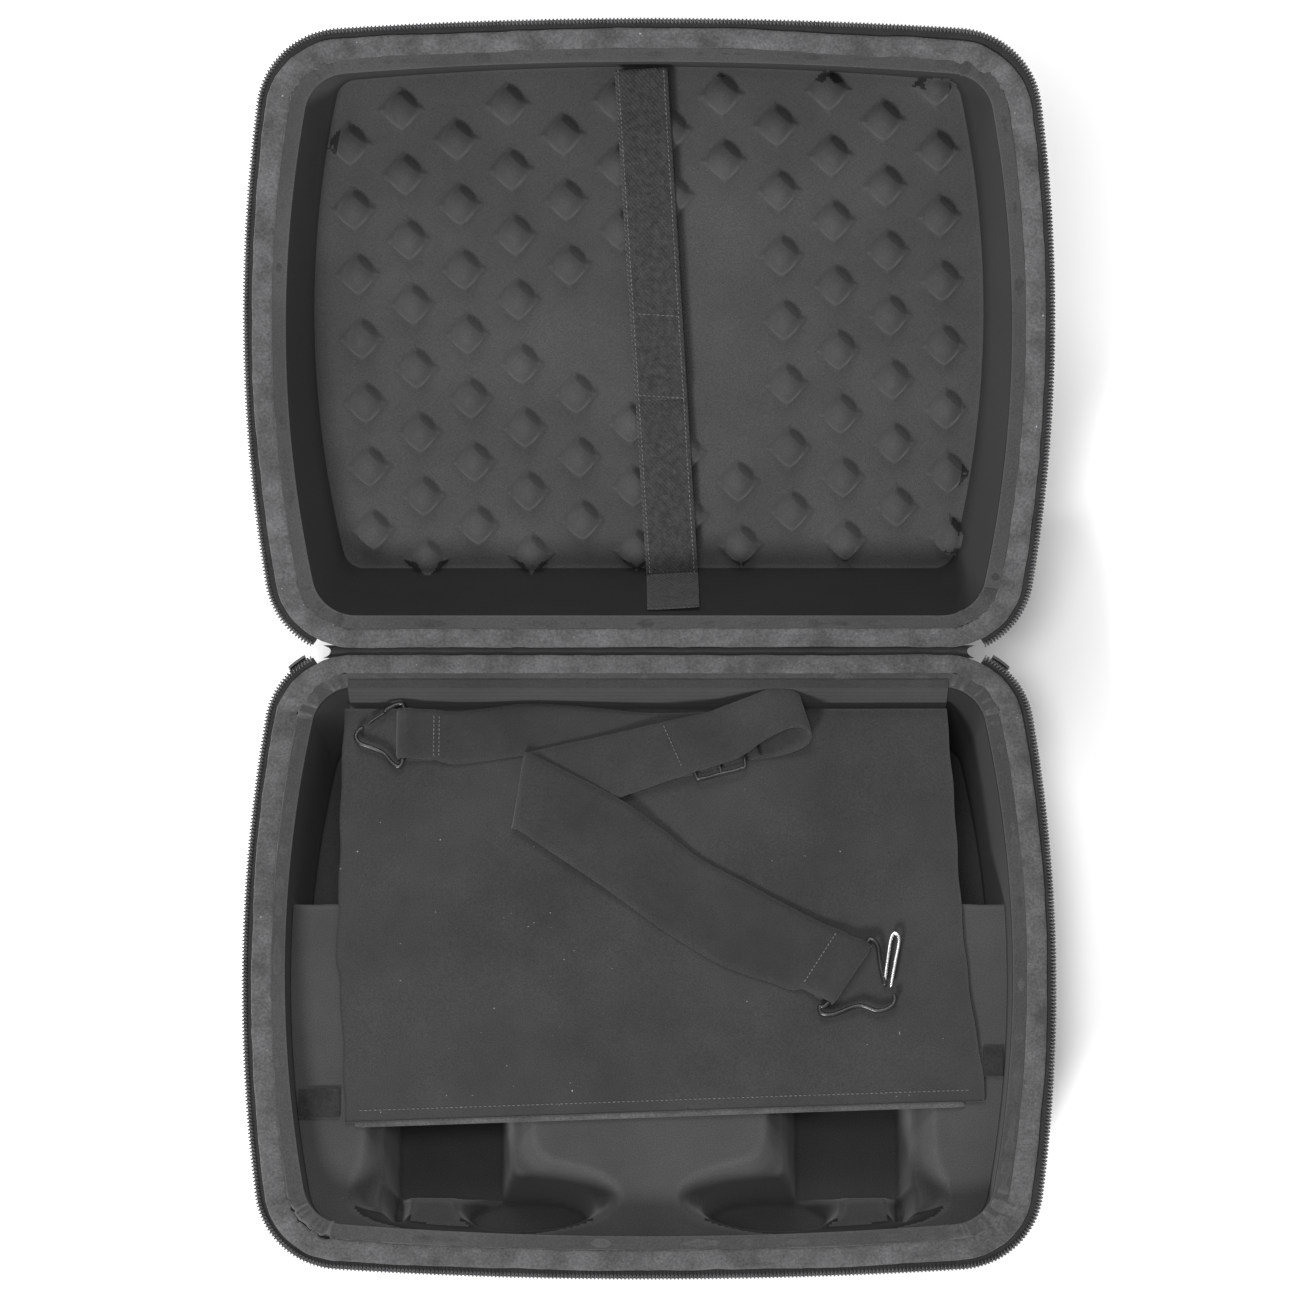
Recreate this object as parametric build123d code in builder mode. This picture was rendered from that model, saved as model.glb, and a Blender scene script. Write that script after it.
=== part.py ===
"""Soft-sided carrying case for a game console, open, with its shoulder strap laid on the divider flap.

Two moulded foam halves meet at a zip that runs round three sides; a cloth spine joins them at the
back. Z is up, the case's front faces -Y, and the origin is on the floor under the middle of the base.
Everything on the lid is drawn closed, above the rim, and swung open at the end.
"""
from build123d import *
from math import atan2, cos, degrees, radians, sin, sqrt, tan
import os

# Rim: the zip edge seen from above
RIM_WIDTH = 412.0           # across the corners, before the sides bow
RIM_FRONT = 346.0           # hinge line to the front corners
SIDE_BOW = 16.5
FRONT_BOW = 8.0
CORNER_RADIUS = 48.0
BACK_EDGE = 3.6             # the zip outline would pass the hinge line by this much
HINGE_Y = 176.0
RIM_Z = 92.0                # plane where the two halves meet
OPEN_ANGLE = 146.0          # lid angle as it lies open

# Bands across the rim, measured inwards from the zip edge
COIL_WIDTH = 3.3
TAPE_IN = 0.6
TAPE_END = 15.0
BINDING_OUT = 5.6
BINDING_IN = 16.2
FLANGE_OUT = 6.0
WALL_OUT = 18.0
CAVITY = 22.0
LIP_OUT = 16.5

# Heights of the same bands, measured away from the rim plane
COIL_NEAR, COIL_FAR = 0.3, 2.5
TAPE_NEAR, TAPE_FAR = 2.7, 3.4
BINDING_NEAR, BINDING_FAR = 0.5, 2.5
FLANGE_NEAR, FLANGE_FAR = 3.6, 6.0
LIP_NEAR, LIP_FAR = 1.0, 2.6
ZIP_NECK = 1.3              # the zip stops this far in front of the hinge line
SPINE_HALF = 181.0
SPINE_THICK = 0.7
SPINE_BEND = ((-1.85, -5.9), (-1.85, -4.1), (-0.6, -2.7), (1.5, -2.2), (3.4, -2.7), (4.95, -4.1))

# Shells and liners
BASE_DRAFT = 5.0
LID_DRAFT = 11.0
LID_HEIGHT = 68.0
SHELL_WALL = 4.0
SHELL_ROUND = 14.0
LINER_GAP = 0.3
LINER_WALL = 1.6
TRAY_DEPTH = 20.0           # rim to the tray's shelf
TRAY_SHEET = 2.2
WELL_FRONT = 138.0          # hinge line to the shelf's edge
WELL_FLOOR = 14.0
LID_FLOOR = 58.0            # rim to the lid liner's floor

# Controller pockets in the tray
POCKET_X = 89.0
POCKET_FRONT = 304.0
POCKET_RADII = (71.0, 20.0)
NECK_X = 109.0
NECK_WIDTH = 87.0
NECK_BACK = 178.0
POCKET_STEP = 14.0
POCKET_DEPTH = 54.0
LOBE_X, LOBE_FRONT, LOBE_RADII = 66.0, 306.0, (37.0, 14.5)
SLOT_X, SLOT_FRONT, SLOT_RADII = 137.5, 303.0, (7.0, 12.0)

# Studs moulded into the lid liner
STUD_COLUMNS = 12
STUD_PITCH_X = 29.45
STUD_PITCH_Y = 36.6
STUD_SIDE = 18.5
STUD_HEIGHT = 8.5
STUD_TIP = 3.2
LONG_START, LONG_COUNT = 300.0, 8
SHORT_START, SHORT_COUNT = 281.7, 7
STUD_SKEW = 2.6             # the liner sits slightly askew
SMOOTH_PATCH = {4: (3,), 5: (3, 4), 6: (2, 3, 4), 7: (2, 3, 4, 5)}

# Elastic strap across the lid
LID_STRAP_WIDTH = 29.0
LID_STRAP_THICK = 1.4
LID_STRAP_DEPTH = 47.9      # rim to the lower piece's near face
LID_STRAP_GAP = 0.2
PATCH_THICK = 0.8
LID_STRAP_LEAN = 3.5
LID_STRAP_X = 4.2
UPPER_STRAP = (318.6, 132.0)
LOWER_STRAP = (31.6, 190.0)
PATCH_LENGTH = 50.0

# Divider flap over the tray
FLAP_Z = RIM_Z - 17.0
FLAP_THICK = 2.0
FLAP_ROOT = 27.0
FLAP_LEFT, FLAP_RIGHT = 36.0 - RIM_WIDTH / 2, RIM_WIDTH / 2 - 40.0
FLAP_PLAN = ((FLAP_LEFT, 28), (FLAP_RIGHT, 28), (FLAP_RIGHT + 7, 164), (FLAP_RIGHT + 16.5, 252),
             (FLAP_LEFT + 5, 264), (FLAP_LEFT - 1, 175))
HEM_RADIUS = 1.7
HEM_GAP = 0.2
ANCHOR_BOTTOM = 33.0
ANCHOR_X = (FLAP_LEFT + 3, FLAP_RIGHT)
ANCHOR_FOLD = ((16.8, 0.8), (16.8, 0.1), (21.4, 0.1), (24.8, ANCHOR_BOTTOM), (24.0, ANCHOR_BOTTOM),
               (20.9, 0.8))

# Shoulder strap, folded as it lies on the flap
WEB = 30.0
WEB_THICK = 2.0
WIRE = 1.3
BEND = 3.0
EYE_GAP = 0.2
STRAP_SHIFT = FLAP_LEFT + 170.0       # the strap lies by the flap's left edge
ADJUSTER = (31.0, 37.0, 2.2)
ADJUSTER_TRAVEL = 12.0
ADJUSTER_GAP = 0.2
ADJUSTER_AT = (35.7, 50.6)
LAY_ANGLE = 15.0            # of the strap's folded run on the flap
LOOP_PLACE = (72, 42)
LOOP = (34.0, 18.0)
STRAP_GAP = 0.3
HOOK_Z = FLAP_Z + STRAP_GAP + WEB_THICK + EYE_GAP + WIRE

# Zip sliders, parked at the hinge ends of the base's zip
SLIDER_ANGLE = 52.0
SLIDER_SPREAD = 6.5         # half of its length, in degrees round the corner
SLIDER_GAP, SLIDER_WALL = 0.4, 1.4
PULL_LENGTH = 26.0
PULL_HALF, PULL_CHEEK = 2.3, 0.8
PULL_DROP = 3.0             # the tongue starts this far down, clear of the slider as it swings up

# Carry handle and shoulder-strap rings
HANDLE_HALF = 58.0
HANDLE_DROP = 24.0
HANDLE_Z = RIM_Z - 28.0
HANDLE_Y = HINGE_Y - RIM_FRONT + 7.0
HANDLE_GRIP = (8.0, 6.0)
HANDLE_BEND = 16.0
PIN_RADIUS = 2.0
PIN_GAP = 0.08
RING_Y = HINGE_Y - RIM_FRONT / 2 - 3.0
RING_Z = RIM_Z - 40.0
RING_X = RIM_WIDTH / 2 + SIDE_BOW - 14.5
RING_WIRE = 1.5
RING_HALF = 12.5
RING_LEG = 7.0
TAB_Z = RIM_Z - TRAY_DEPTH + 0.3
TAB_WIDTH, TAB_THICK = 16.0, 1.6
TABS = (("tab_left", 15.2 - RIM_WIDTH / 2, 37.6 - RIM_WIDTH / 2, 253.0),
        ("tab_right", RIM_WIDTH / 2 - 12.8, RIM_WIDTH / 2 - 24.0, 230.0))

SIDE_HALF = (RIM_FRONT + BACK_EDGE) / 2
SIDE_RADIUS = SIDE_HALF**2 / (2 * SIDE_BOW) + SIDE_BOW / 2
SIDE_MID_Y = HINGE_Y + BACK_EDGE - SIDE_HALF
hinge_axis = Axis((0, HINGE_Y, RIM_Z), (1, 0, 0))


def rim_outline(inset):
    """The zip outline moved inwards: straight back, bowed sides and front, round corners."""
    half = RIM_WIDTH / 2 - inset
    back = HINGE_Y + BACK_EDGE - inset
    front = HINGE_Y - RIM_FRONT + inset
    with BuildSketch(mode=Mode.PRIVATE) as outline:
        with BuildLine():
            Line((-half, back), (half, back))
            ThreePointArc((half, back), (half + SIDE_BOW, SIDE_MID_Y), (half, front))
            ThreePointArc((half, front), (0, front - FRONT_BOW), (-half, front))
            ThreePointArc((-half, front), (-half - SIDE_BOW, SIDE_MID_Y), (-half, back))
        make_face()
        fillet(outline.vertices(), CORNER_RADIUS - inset)
    return outline.sketch


def band(outer, inner, bottom, top):
    """A flat band between two rim outlines, added to the part being built."""
    outer_edge, inner_edge = rim_outline(outer), rim_outline(inner)
    with BuildSketch(Plane.XY.offset(bottom)) as ring_face:
        add(outer_edge)
        add(inner_edge, mode=Mode.SUBTRACT)
    extrude(ring_face.sketch, amount=top - bottom)


def bowl(inset, start, depth, draft, mode=Mode.ADD):
    """A drafted block below (or, with a negative depth, above) the rim."""
    near_edge, far_edge = rim_outline(inset), rim_outline(inset + abs(depth) * tan(radians(draft)))
    with BuildSketch(Plane.XY.offset(start)) as near_face:
        add(near_edge)
    with BuildSketch(Plane.XY.offset(start - depth)) as far_face:
        add(far_edge)
    loft([near_face.sketch, far_face.sketch], ruled=True, mode=mode)


def from_hinge(x, forward):
    """A plan point given by its distance in front of the hinge line."""
    return (x, HINGE_Y - forward)


def wire(points, radius):
    """A round wire bent at the given points, added to the part being built."""
    with BuildLine() as path:
        FilletPolyline(*points, radius=BEND)
    with BuildSketch(Plane(origin=path.line @ 0, z_dir=path.line % 0)) as section:
        Circle(radius)
    sweep(section.sketch, path=path.line)


def cut_zip_ends():
    """Trim a rim band so that it only runs round the three zipped sides."""
    with Locations((0, HINGE_Y + 10 - ZIP_NECK, RIM_Z)):
        Box(2 * RIM_WIDTH, 20, 40, mode=Mode.SUBTRACT)
    with Locations((0, HINGE_Y, RIM_Z)):
        Box(2 * (SPINE_HALF + 5), 40, 40, mode=Mode.SUBTRACT)


# Base shell: laminated foam tub with an outward flange
with BuildPart() as base_shell:
    bowl(WALL_OUT, RIM_Z - FLANGE_FAR, RIM_Z - FLANGE_FAR, BASE_DRAFT)
    fillet(base_shell.faces().sort_by(Axis.Z)[0].edges(), SHELL_ROUND)
    bowl(FLANGE_OUT, RIM_Z - FLANGE_NEAR, FLANGE_FAR - FLANGE_NEAR, 0)
    bowl(CAVITY, RIM_Z - FLANGE_NEAR, RIM_Z - FLANGE_NEAR - SHELL_WALL, BASE_DRAFT, Mode.SUBTRACT)

# Base liner: a cup with the back well, the shelf and two stepped controller pockets
with BuildPart() as base_liner:
    liner_top = RIM_Z - LIP_NEAR
    cup_floor = SHELL_WALL + LINER_GAP
    bowl(CAVITY + LINER_GAP, liner_top, liner_top - cup_floor, BASE_DRAFT)
    bowl(CAVITY + LINER_GAP + LINER_WALL, liner_top, liner_top - cup_floor - LINER_WALL, BASE_DRAFT,
         Mode.SUBTRACT)
    band(LIP_OUT, CAVITY + LINER_GAP + LINER_WALL, RIM_Z - LIP_FAR, liner_top)
    shelf_top = RIM_Z - TRAY_DEPTH
    shelf_edge = rim_outline(CAVITY + LINER_WALL + TRAY_DEPTH * tan(radians(BASE_DRAFT)))
    with BuildSketch(Plane.XY.offset(shelf_top)):
        add(shelf_edge)
        with Locations(from_hinge(0, 0)):
            Rectangle(2 * RIM_WIDTH, 2 * WELL_FRONT, mode=Mode.SUBTRACT)
    extrude(amount=-TRAY_SHEET)
    with BuildSketch(Plane.XY.offset(cup_floor)):
        with Locations(from_hinge(0, WELL_FRONT + TRAY_SHEET / 2)):
            Rectangle(2 * (RIM_WIDTH / 2 - CAVITY) - 4, TRAY_SHEET)
    extrude(amount=shelf_top - cup_floor)
    for side in (-1, 1):
        # thickness round each pocket first, then the hollow
        for wall, mode in ((TRAY_SHEET, Mode.ADD), (0, Mode.SUBTRACT)):
            with BuildSketch(Plane.XY.offset(shelf_top)) as step:
                with Locations(from_hinge(side * POCKET_X, POCKET_FRONT)):
                    Ellipse(POCKET_RADII[0] + wall, POCKET_RADII[1] + wall)
                with Locations(from_hinge(side * NECK_X, (NECK_BACK + POCKET_FRONT) / 2)):
                    RectangleRounded(NECK_WIDTH + 2 * wall, POCKET_FRONT - NECK_BACK + 2 * wall, 9 + wall)
            extrude(amount=-POCKET_STEP - wall, mode=mode)
        for wall, mode in ((TRAY_SHEET, Mode.ADD), (0, Mode.SUBTRACT)):
            with BuildSketch(Plane.XY.offset(shelf_top - POCKET_STEP)):
                with Locations(from_hinge(side * LOBE_X, LOBE_FRONT)):
                    Ellipse(LOBE_RADII[0] + wall, LOBE_RADII[1] + wall)
                with Locations(from_hinge(side * SLOT_X, SLOT_FRONT)):
                    Ellipse(SLOT_RADII[0] + wall, SLOT_RADII[1] + wall)
                with Locations(from_hinge(side * NECK_X, (NECK_BACK + LOBE_FRONT) / 2)):
                    RectangleRounded(NECK_WIDTH - 20 + 2 * wall, LOBE_FRONT - NECK_BACK - 12 + 2 * wall,
                                     8 + wall)
            extrude(amount=POCKET_STEP - POCKET_DEPTH - wall, mode=mode)

# Rim of the base: binding, zip tape and zip coil
with BuildPart() as base_binding:
    band(BINDING_OUT, BINDING_IN, RIM_Z - BINDING_FAR, RIM_Z - BINDING_NEAR)
    fillet(base_binding.faces().sort_by(Axis.Z)[-1].edges(), 0.9)
with BuildPart() as base_zip_tape:
    band(TAPE_IN, TAPE_END, RIM_Z - TAPE_FAR, RIM_Z - TAPE_NEAR)
    cut_zip_ends()
with BuildPart() as base_zip_coil:
    band(0, COIL_WIDTH, RIM_Z - COIL_FAR, RIM_Z - COIL_NEAR)
    cut_zip_ends()

# Cloth spine between the two flanges, shown as it bends in the open case
with BuildPart() as hinge_spine:
    with BuildLine() as bend:
        FilletPolyline(*[(0, HINGE_Y + y, RIM_Z + z) for y, z in SPINE_BEND], radius=0.8)
    with BuildSketch(Plane(origin=bend.line @ 0, x_dir=(1, 0, 0), z_dir=bend.line % 0)) as strip:
        Rectangle(2 * SPINE_HALF, SPINE_THICK)
    sweep(strip.sketch, path=bend.line)

# Lid, drawn closed
with BuildPart() as lid_shell:
    bowl(WALL_OUT, RIM_Z + FLANGE_FAR, FLANGE_FAR - LID_HEIGHT, LID_DRAFT)
    fillet(lid_shell.faces().sort_by(Axis.Z)[-1].edges(), SHELL_ROUND)
    bowl(FLANGE_OUT, RIM_Z + FLANGE_NEAR, FLANGE_NEAR - FLANGE_FAR, 0)
    bowl(CAVITY, RIM_Z + FLANGE_NEAR, FLANGE_NEAR - LID_HEIGHT + SHELL_WALL, LID_DRAFT, Mode.SUBTRACT)


def stud_places():
    """Plan points of the studs, with the smooth patch left open."""
    lean = radians(STUD_SKEW)
    middle = (LONG_START + SHORT_START) / 2 - STUD_PITCH_Y * (LONG_COUNT - 1) / 2
    places = []
    for column in range(STUD_COLUMNS):
        start, count = (SHORT_START, SHORT_COUNT) if column % 2 == 0 else (LONG_START, LONG_COUNT)
        for row in range(count):
            if row in SMOOTH_PATCH.get(column, ()):
                continue
            x = (column - (STUD_COLUMNS - 1) / 2) * STUD_PITCH_X
            forward = start - row * STUD_PITCH_Y - middle
            places.append(from_hinge(x * cos(lean) - forward * sin(lean) + 2,
                                     forward * cos(lean) + x * sin(lean) + middle))
    return places


with BuildPart() as lid_liner:
    cup_top = LID_FLOOR + TRAY_SHEET
    bowl(CAVITY + LINER_GAP, RIM_Z + LIP_NEAR, LIP_NEAR - cup_top, LID_DRAFT)
    bowl(CAVITY + LINER_GAP + LINER_WALL, RIM_Z + LIP_NEAR, LIP_NEAR - LID_FLOOR, LID_DRAFT, Mode.SUBTRACT)
    with BuildSketch(Plane.XY.offset(RIM_Z + LID_FLOOR + 0.4)):
        with Locations(*stud_places()):
            Rectangle(STUD_SIDE, STUD_SIDE, rotation=45)
    extrude(amount=-STUD_HEIGHT - 0.4, taper=degrees(atan2(STUD_SIDE / 2 - STUD_TIP / 2, STUD_HEIGHT + 0.4)))
    bowl(CAVITY + LINER_GAP, RIM_Z + LIP_NEAR, LIP_NEAR - cup_top, LID_DRAFT, Mode.INTERSECT)
    band(LIP_OUT, CAVITY + LINER_GAP + LINER_WALL, RIM_Z + LIP_NEAR, RIM_Z + LIP_FAR)

with BuildPart() as lid_binding:
    band(BINDING_OUT, BINDING_IN, RIM_Z + BINDING_NEAR, RIM_Z + BINDING_FAR)
    fillet(lid_binding.faces().sort_by(Axis.Z)[0].edges(), 0.9)
with BuildPart() as lid_zip_tape:
    band(TAPE_IN, TAPE_END, RIM_Z + TAPE_NEAR, RIM_Z + TAPE_FAR)
    cut_zip_ends()
with BuildPart() as lid_zip_coil:
    band(0, COIL_WIDTH, RIM_Z + COIL_NEAR, RIM_Z + COIL_FAR)
    cut_zip_ends()


def lid_strap(start, end, depth, thick):
    """One webbing piece over the studs; start and end are distances from the hinge line."""
    middle = (start + end) / 2
    x = LID_STRAP_X - (middle - 177) * tan(radians(LID_STRAP_LEAN))
    with Locations(Location((*from_hinge(x, middle), RIM_Z + depth), (0, 0, -LID_STRAP_LEAN))):
        Box(LID_STRAP_WIDTH, abs(end - start), thick, align=(Align.CENTER, Align.CENTER, Align.MIN))


with BuildPart() as lid_strap_upper:
    lid_strap(*UPPER_STRAP, LID_STRAP_DEPTH - 2 * LID_STRAP_GAP - PATCH_THICK - LID_STRAP_THICK,
              LID_STRAP_THICK)
with BuildPart() as lid_strap_lower:
    lid_strap(*LOWER_STRAP, LID_STRAP_DEPTH, LID_STRAP_THICK)
with BuildPart() as hook_patch:
    lid_strap(UPPER_STRAP[1] + 2, UPPER_STRAP[1] + 2 + PATCH_LENGTH,
              LID_STRAP_DEPTH - LID_STRAP_GAP - PATCH_THICK, PATCH_THICK)

# Divider flap, its rolled front hem and the strip that sews it to the back wall
with BuildPart() as flap_panel:
    with BuildSketch(Plane.XY.offset(FLAP_Z)):
        with BuildLine():
            Polyline(*[from_hinge(*point) for point in FLAP_PLAN], close=True)
        make_face()
    extrude(amount=-FLAP_THICK)
with BuildPart() as flap_hem:
    left_end = Vector(*from_hinge(*FLAP_PLAN[4]), FLAP_Z - FLAP_THICK / 2)
    right_end = Vector(*from_hinge(*FLAP_PLAN[3]), FLAP_Z - FLAP_THICK / 2)
    run = right_end - left_end
    outward = run.cross(Vector(0, 0, 1)).normalized() * (HEM_RADIUS + HEM_GAP)
    with BuildSketch(Plane(origin=left_end + outward, z_dir=run)):
        Circle(HEM_RADIUS)
    extrude(amount=run.length)
with BuildPart() as flap_anchor:
    with BuildSketch(Plane.YZ.offset(ANCHOR_X[0])):
        with BuildLine():
            Polyline(*[(HINGE_Y - forward, RIM_Z - down) for forward, down in ANCHOR_FOLD], close=True)
        make_face()
    extrude(amount=ANCHOR_X[1] - ANCHOR_X[0])


def on_flap(x, forward):
    return from_hinge(x + STRAP_SHIFT, forward)


def laid_web(points, bottom, thick):
    """A flat run of webbing cut to the plan shape it lies in."""
    with BuildSketch(Plane.XY.offset(bottom)) as cloth:
        with BuildLine():
            Polyline(*[on_flap(*point) for point in points], close=True)
        make_face()
    extrude(cloth.sketch, amount=thick)


def hook_points(points):
    return [(*on_flap(x, forward), HOOK_Z) for x, forward in points]


def adjuster_place(back):
    """Where the adjuster lies between the strap's layers, moved back along its run."""
    x, y = on_flap(*ADJUSTER_AT)
    angle = radians(LAY_ANGLE)
    height = FLAP_Z + STRAP_GAP + 2.5 * WEB_THICK
    return Location((x - back * cos(angle), y - back * sin(angle), height), (0, 0, LAY_ANGLE))


# Shoulder strap: one long webbing, folded at the left and looped at the right
with BuildPart() as strap_webbing:
    floor_z = FLAP_Z + STRAP_GAP
    laid_web(((-138, 28.5), (-119, 31), (-65, 25.5), (0, 31), (70, 27.5), (70, 57.5), (0, 61), (-65, 55.5),
              (-119, 61), (-138, 58.5)), floor_z, WEB_THICK)
    laid_web(((-70, 60), (64, 27.5), (72, 56.5), (-62, 97)), floor_z + WEB_THICK, 3 * WEB_THICK)
    # the adjuster sits between the two layers
    with Locations(adjuster_place(ADJUSTER_TRAVEL / 2)):
        Box(ADJUSTER[0] + ADJUSTER_TRAVEL + 1, 2 * WEB, ADJUSTER[2] + 2 * ADJUSTER_GAP, mode=Mode.SUBTRACT)
    laid_web(((-70, 60), (-57, 66), (-16, 86), (28, 116), (78, 143), (117, 163), (102, 190), (62, 173),
              (12, 146), (-32, 116), (-64, 99)), floor_z, 2 * WEB_THICK + 0.6)
    for bar, run_end in (((-141.5, 44.5), (-136, 44.5)), ((111.75, 181.25), (106, 178))):
        heading = Vector(*on_flap(*run_end)) - Vector(*on_flap(*bar))
        across = Vector(heading.Y, -heading.X, 0)
        with BuildSketch(Plane(origin=hook_points((bar,))[0], x_dir=heading, z_dir=across)):
            Circle(WIRE + EYE_GAP + WEB_THICK)
            with Locations((4, 0)):
                Rectangle(8, 2 * WEB_THICK)
            Circle(WIRE + EYE_GAP, mode=Mode.SUBTRACT)
        extrude(amount=WEB / 2 - 1.5, both=True)
    # the strap's end curls over in a loop
    lay = Vector(cos(radians(LAY_ANGLE)), sin(radians(LAY_ANGLE)), 0)
    with BuildSketch(Plane(origin=(*on_flap(*LOOP_PLACE), floor_z + LOOP[1] / 2), x_dir=lay,
                           z_dir=(lay.Y, -lay.X, 0))):
        SlotOverall(*LOOP)
        SlotOverall(LOOP[0] - 2 * WEB_THICK, LOOP[1] - 2 * WEB_THICK, mode=Mode.SUBTRACT)
    extrude(amount=WEB / 2 - 1, both=True)

with BuildPart() as strap_slider:
    with Locations(adjuster_place(0)):
        Box(*ADJUSTER)
        with GridLocations(13.5, 0, 2, 1):
            Box(10.5, ADJUSTER[1] - 4.4, ADJUSTER[2], mode=Mode.SUBTRACT)


# Wire hooks on the strap's two ends; each has a sprung wire gate
with BuildPart() as hook_frame_left:
    wire(hook_points(((-147, 27), (-141.5, 27), (-141.5, 62), (-151, 63), (-166, 45), (-159, 35.5))), WIRE)
with BuildPart() as hook_frame_right:
    wire(hook_points(((128, 183), (128, 164), (121.5, 164), (102, 198.5), (116, 202), (126, 204), (134, 194),
                      (131, 188))), WIRE)
with BuildPart() as hook_gate_left:
    wire(hook_points(((-146.2, 29.4), (-152, 31.3), (-157.4, 33.9))), WIRE - 0.4)
with BuildPart() as hook_gate_right:
    wire(hook_points(((130.5, 187), (134.5, 173), (136.5, 160))), WIRE)

# Hook-and-loop tabs that hold the flap's sides down
tabs = {}
for name, root, tip, forward in TABS:
    with BuildPart() as tab:
        with Locations((*from_hinge((root + tip) / 2, forward), TAB_Z)):
            Box(abs(root - tip), TAB_WIDTH, TAB_THICK, align=(Align.CENTER, Align.CENTER, Align.MIN))
    tabs[name] = tab

# Zip sliders: each wraps the base's coil from below and outside, and carries a pull
corner_x = SIDE_RADIUS - CORNER_RADIUS
corner_x = RIM_WIDTH / 2 + SIDE_BOW - SIDE_RADIUS + sqrt(corner_x**2 - (SIDE_HALF - CORNER_RADIUS)**2)
corner_y = HINGE_Y + BACK_EDGE - CORNER_RADIUS


def corner_sector(side, inner, outer, spread, bottom, top):
    """A slab that follows the zip round a back corner."""
    middle = SLIDER_ANGLE if side > 0 else 180 - SLIDER_ANGLE
    centre = (side * corner_x, corner_y)
    with BuildSketch(Plane.XY.offset(bottom)) as sector:
        with BuildLine():
            near = CenterArc(centre, inner, middle - spread, 2 * spread)
            far = CenterArc(centre, outer, middle - spread, 2 * spread)
            Line(near @ 0, far @ 0)
            Line(near @ 1, far @ 1)
        make_face()
    extrude(sector.sketch, amount=top - bottom)


sliders = {}
pulls = {}
for side, end in ((-1, "left"), (1, "right")):
    with BuildPart() as slider:
        outside = CORNER_RADIUS + SLIDER_GAP
        corner_sector(side, CORNER_RADIUS - 5, outside + SLIDER_WALL, SLIDER_SPREAD, RIM_Z - 5.4, RIM_Z - 3.7)
        corner_sector(side, outside, outside + SLIDER_WALL, SLIDER_SPREAD, RIM_Z - 5.4, RIM_Z - 0.6)
        corner_sector(side, CORNER_RADIUS - 3.5, CORNER_RADIUS - 1.2, 1.4, RIM_Z - 9.0, RIM_Z - 5.4)
        eye = radians(SLIDER_ANGLE)
        eye_x = side * (corner_x + (CORNER_RADIUS - 2.35) * cos(eye))
        eye_y = corner_y + (CORNER_RADIUS - 2.35) * sin(eye)
        radial = Vector(side * cos(eye), sin(eye), 0)
        with BuildSketch(Plane(origin=(eye_x, eye_y, RIM_Z - 7.2), z_dir=radial)):
            Circle(0.9)
        extrude(amount=4, both=True, mode=Mode.SUBTRACT)
    sliders[f"zip_slider_{end}"] = slider
    with BuildPart() as pull:
        along = Vector(-side * sin(eye), cos(eye), 0)
        with BuildSketch(Plane(origin=(eye_x, eye_y, RIM_Z - 7.2), x_dir=along, z_dir=radial)):
            Rectangle(1.2, 1.2)
        extrude(amount=PULL_HALF, both=True)
        for reach in (-1, 1):
            cheek = radial * reach * (PULL_HALF - PULL_CHEEK / 2)
            with BuildSketch(Plane(origin=Vector(eye_x, eye_y, RIM_Z - 7.2) + cheek, x_dir=along,
                                   z_dir=radial)):
                with Locations((0, -side * 2.4)):
                    Rectangle(2.4, 7.2)
            extrude(amount=PULL_CHEEK / 2, both=True)
        with BuildSketch(Plane(origin=Vector(eye_x, eye_y, RIM_Z - 10.5), x_dir=along, z_dir=radial)):
            with Locations((0, -side * 2)):
                Rectangle(4, 4)
        extrude(amount=PULL_HALF, both=True)
        with BuildSketch(Plane(origin=Vector(eye_x, eye_y, RIM_Z - 10.5), x_dir=along, z_dir=radial)):
            with Locations((0, -side * (PULL_LENGTH + PULL_DROP) / 2)):
                RectangleRounded(8, PULL_LENGTH - PULL_DROP, 2.5)
        extrude(amount=1.4, both=True)
    pulls[f"pull_tab_{end}"] = pull

# Rings for the shoulder strap, each held by a webbing tab on the side wall
rings = {}
ring_tabs = {}
for side, end in ((-1, "left"), (1, "right")):
    with BuildPart() as ring_tab:
        with Locations((side * (RING_X - 4), RING_Y, RING_Z + 12)):
            Box(6, 20, 27)
        with Locations(Location((side * RING_X, RING_Y, RING_Z), (90, 0, 0))):
            Cylinder(RING_WIRE + 1.8, 20)
            Cylinder(RING_WIRE + 0.3, 20, mode=Mode.SUBTRACT)
        with Locations((side * (RING_X - 1.5), RING_Y, RING_Z + 13)):
            Box(3.4, 20, 20)
        with Locations(Location((side * RING_X, RING_Y, RING_Z), (90, 0, 0))):
            Cylinder(RING_WIRE + 0.3, 20, mode=Mode.SUBTRACT)
        add(base_shell.part, mode=Mode.SUBTRACT)
    ring_tabs[f"ring_tab_{end}"] = ring_tab
    with BuildPart() as ring:
        with BuildLine(Plane(origin=(side * RING_X, RING_Y, RING_Z), x_dir=(0, 1, 0), z_dir=(1, 0, 0))):
            Line((-RING_HALF, 0), (RING_HALF, 0))
            Line((RING_HALF, 0), (RING_HALF, -RING_LEG))
            ThreePointArc((RING_HALF, -RING_LEG), (0, -RING_LEG - RING_HALF), (-RING_HALF, -RING_LEG))
            Line((-RING_HALF, -RING_LEG), (-RING_HALF, 0))
        with BuildSketch(Plane(origin=(side * RING_X, RING_Y, RING_Z), z_dir=(0, 1, 0))):
            Circle(RING_WIRE)
        sweep(transition=Transition.ROUND)
    rings[f"strap_ring_{end}"] = ring

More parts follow.
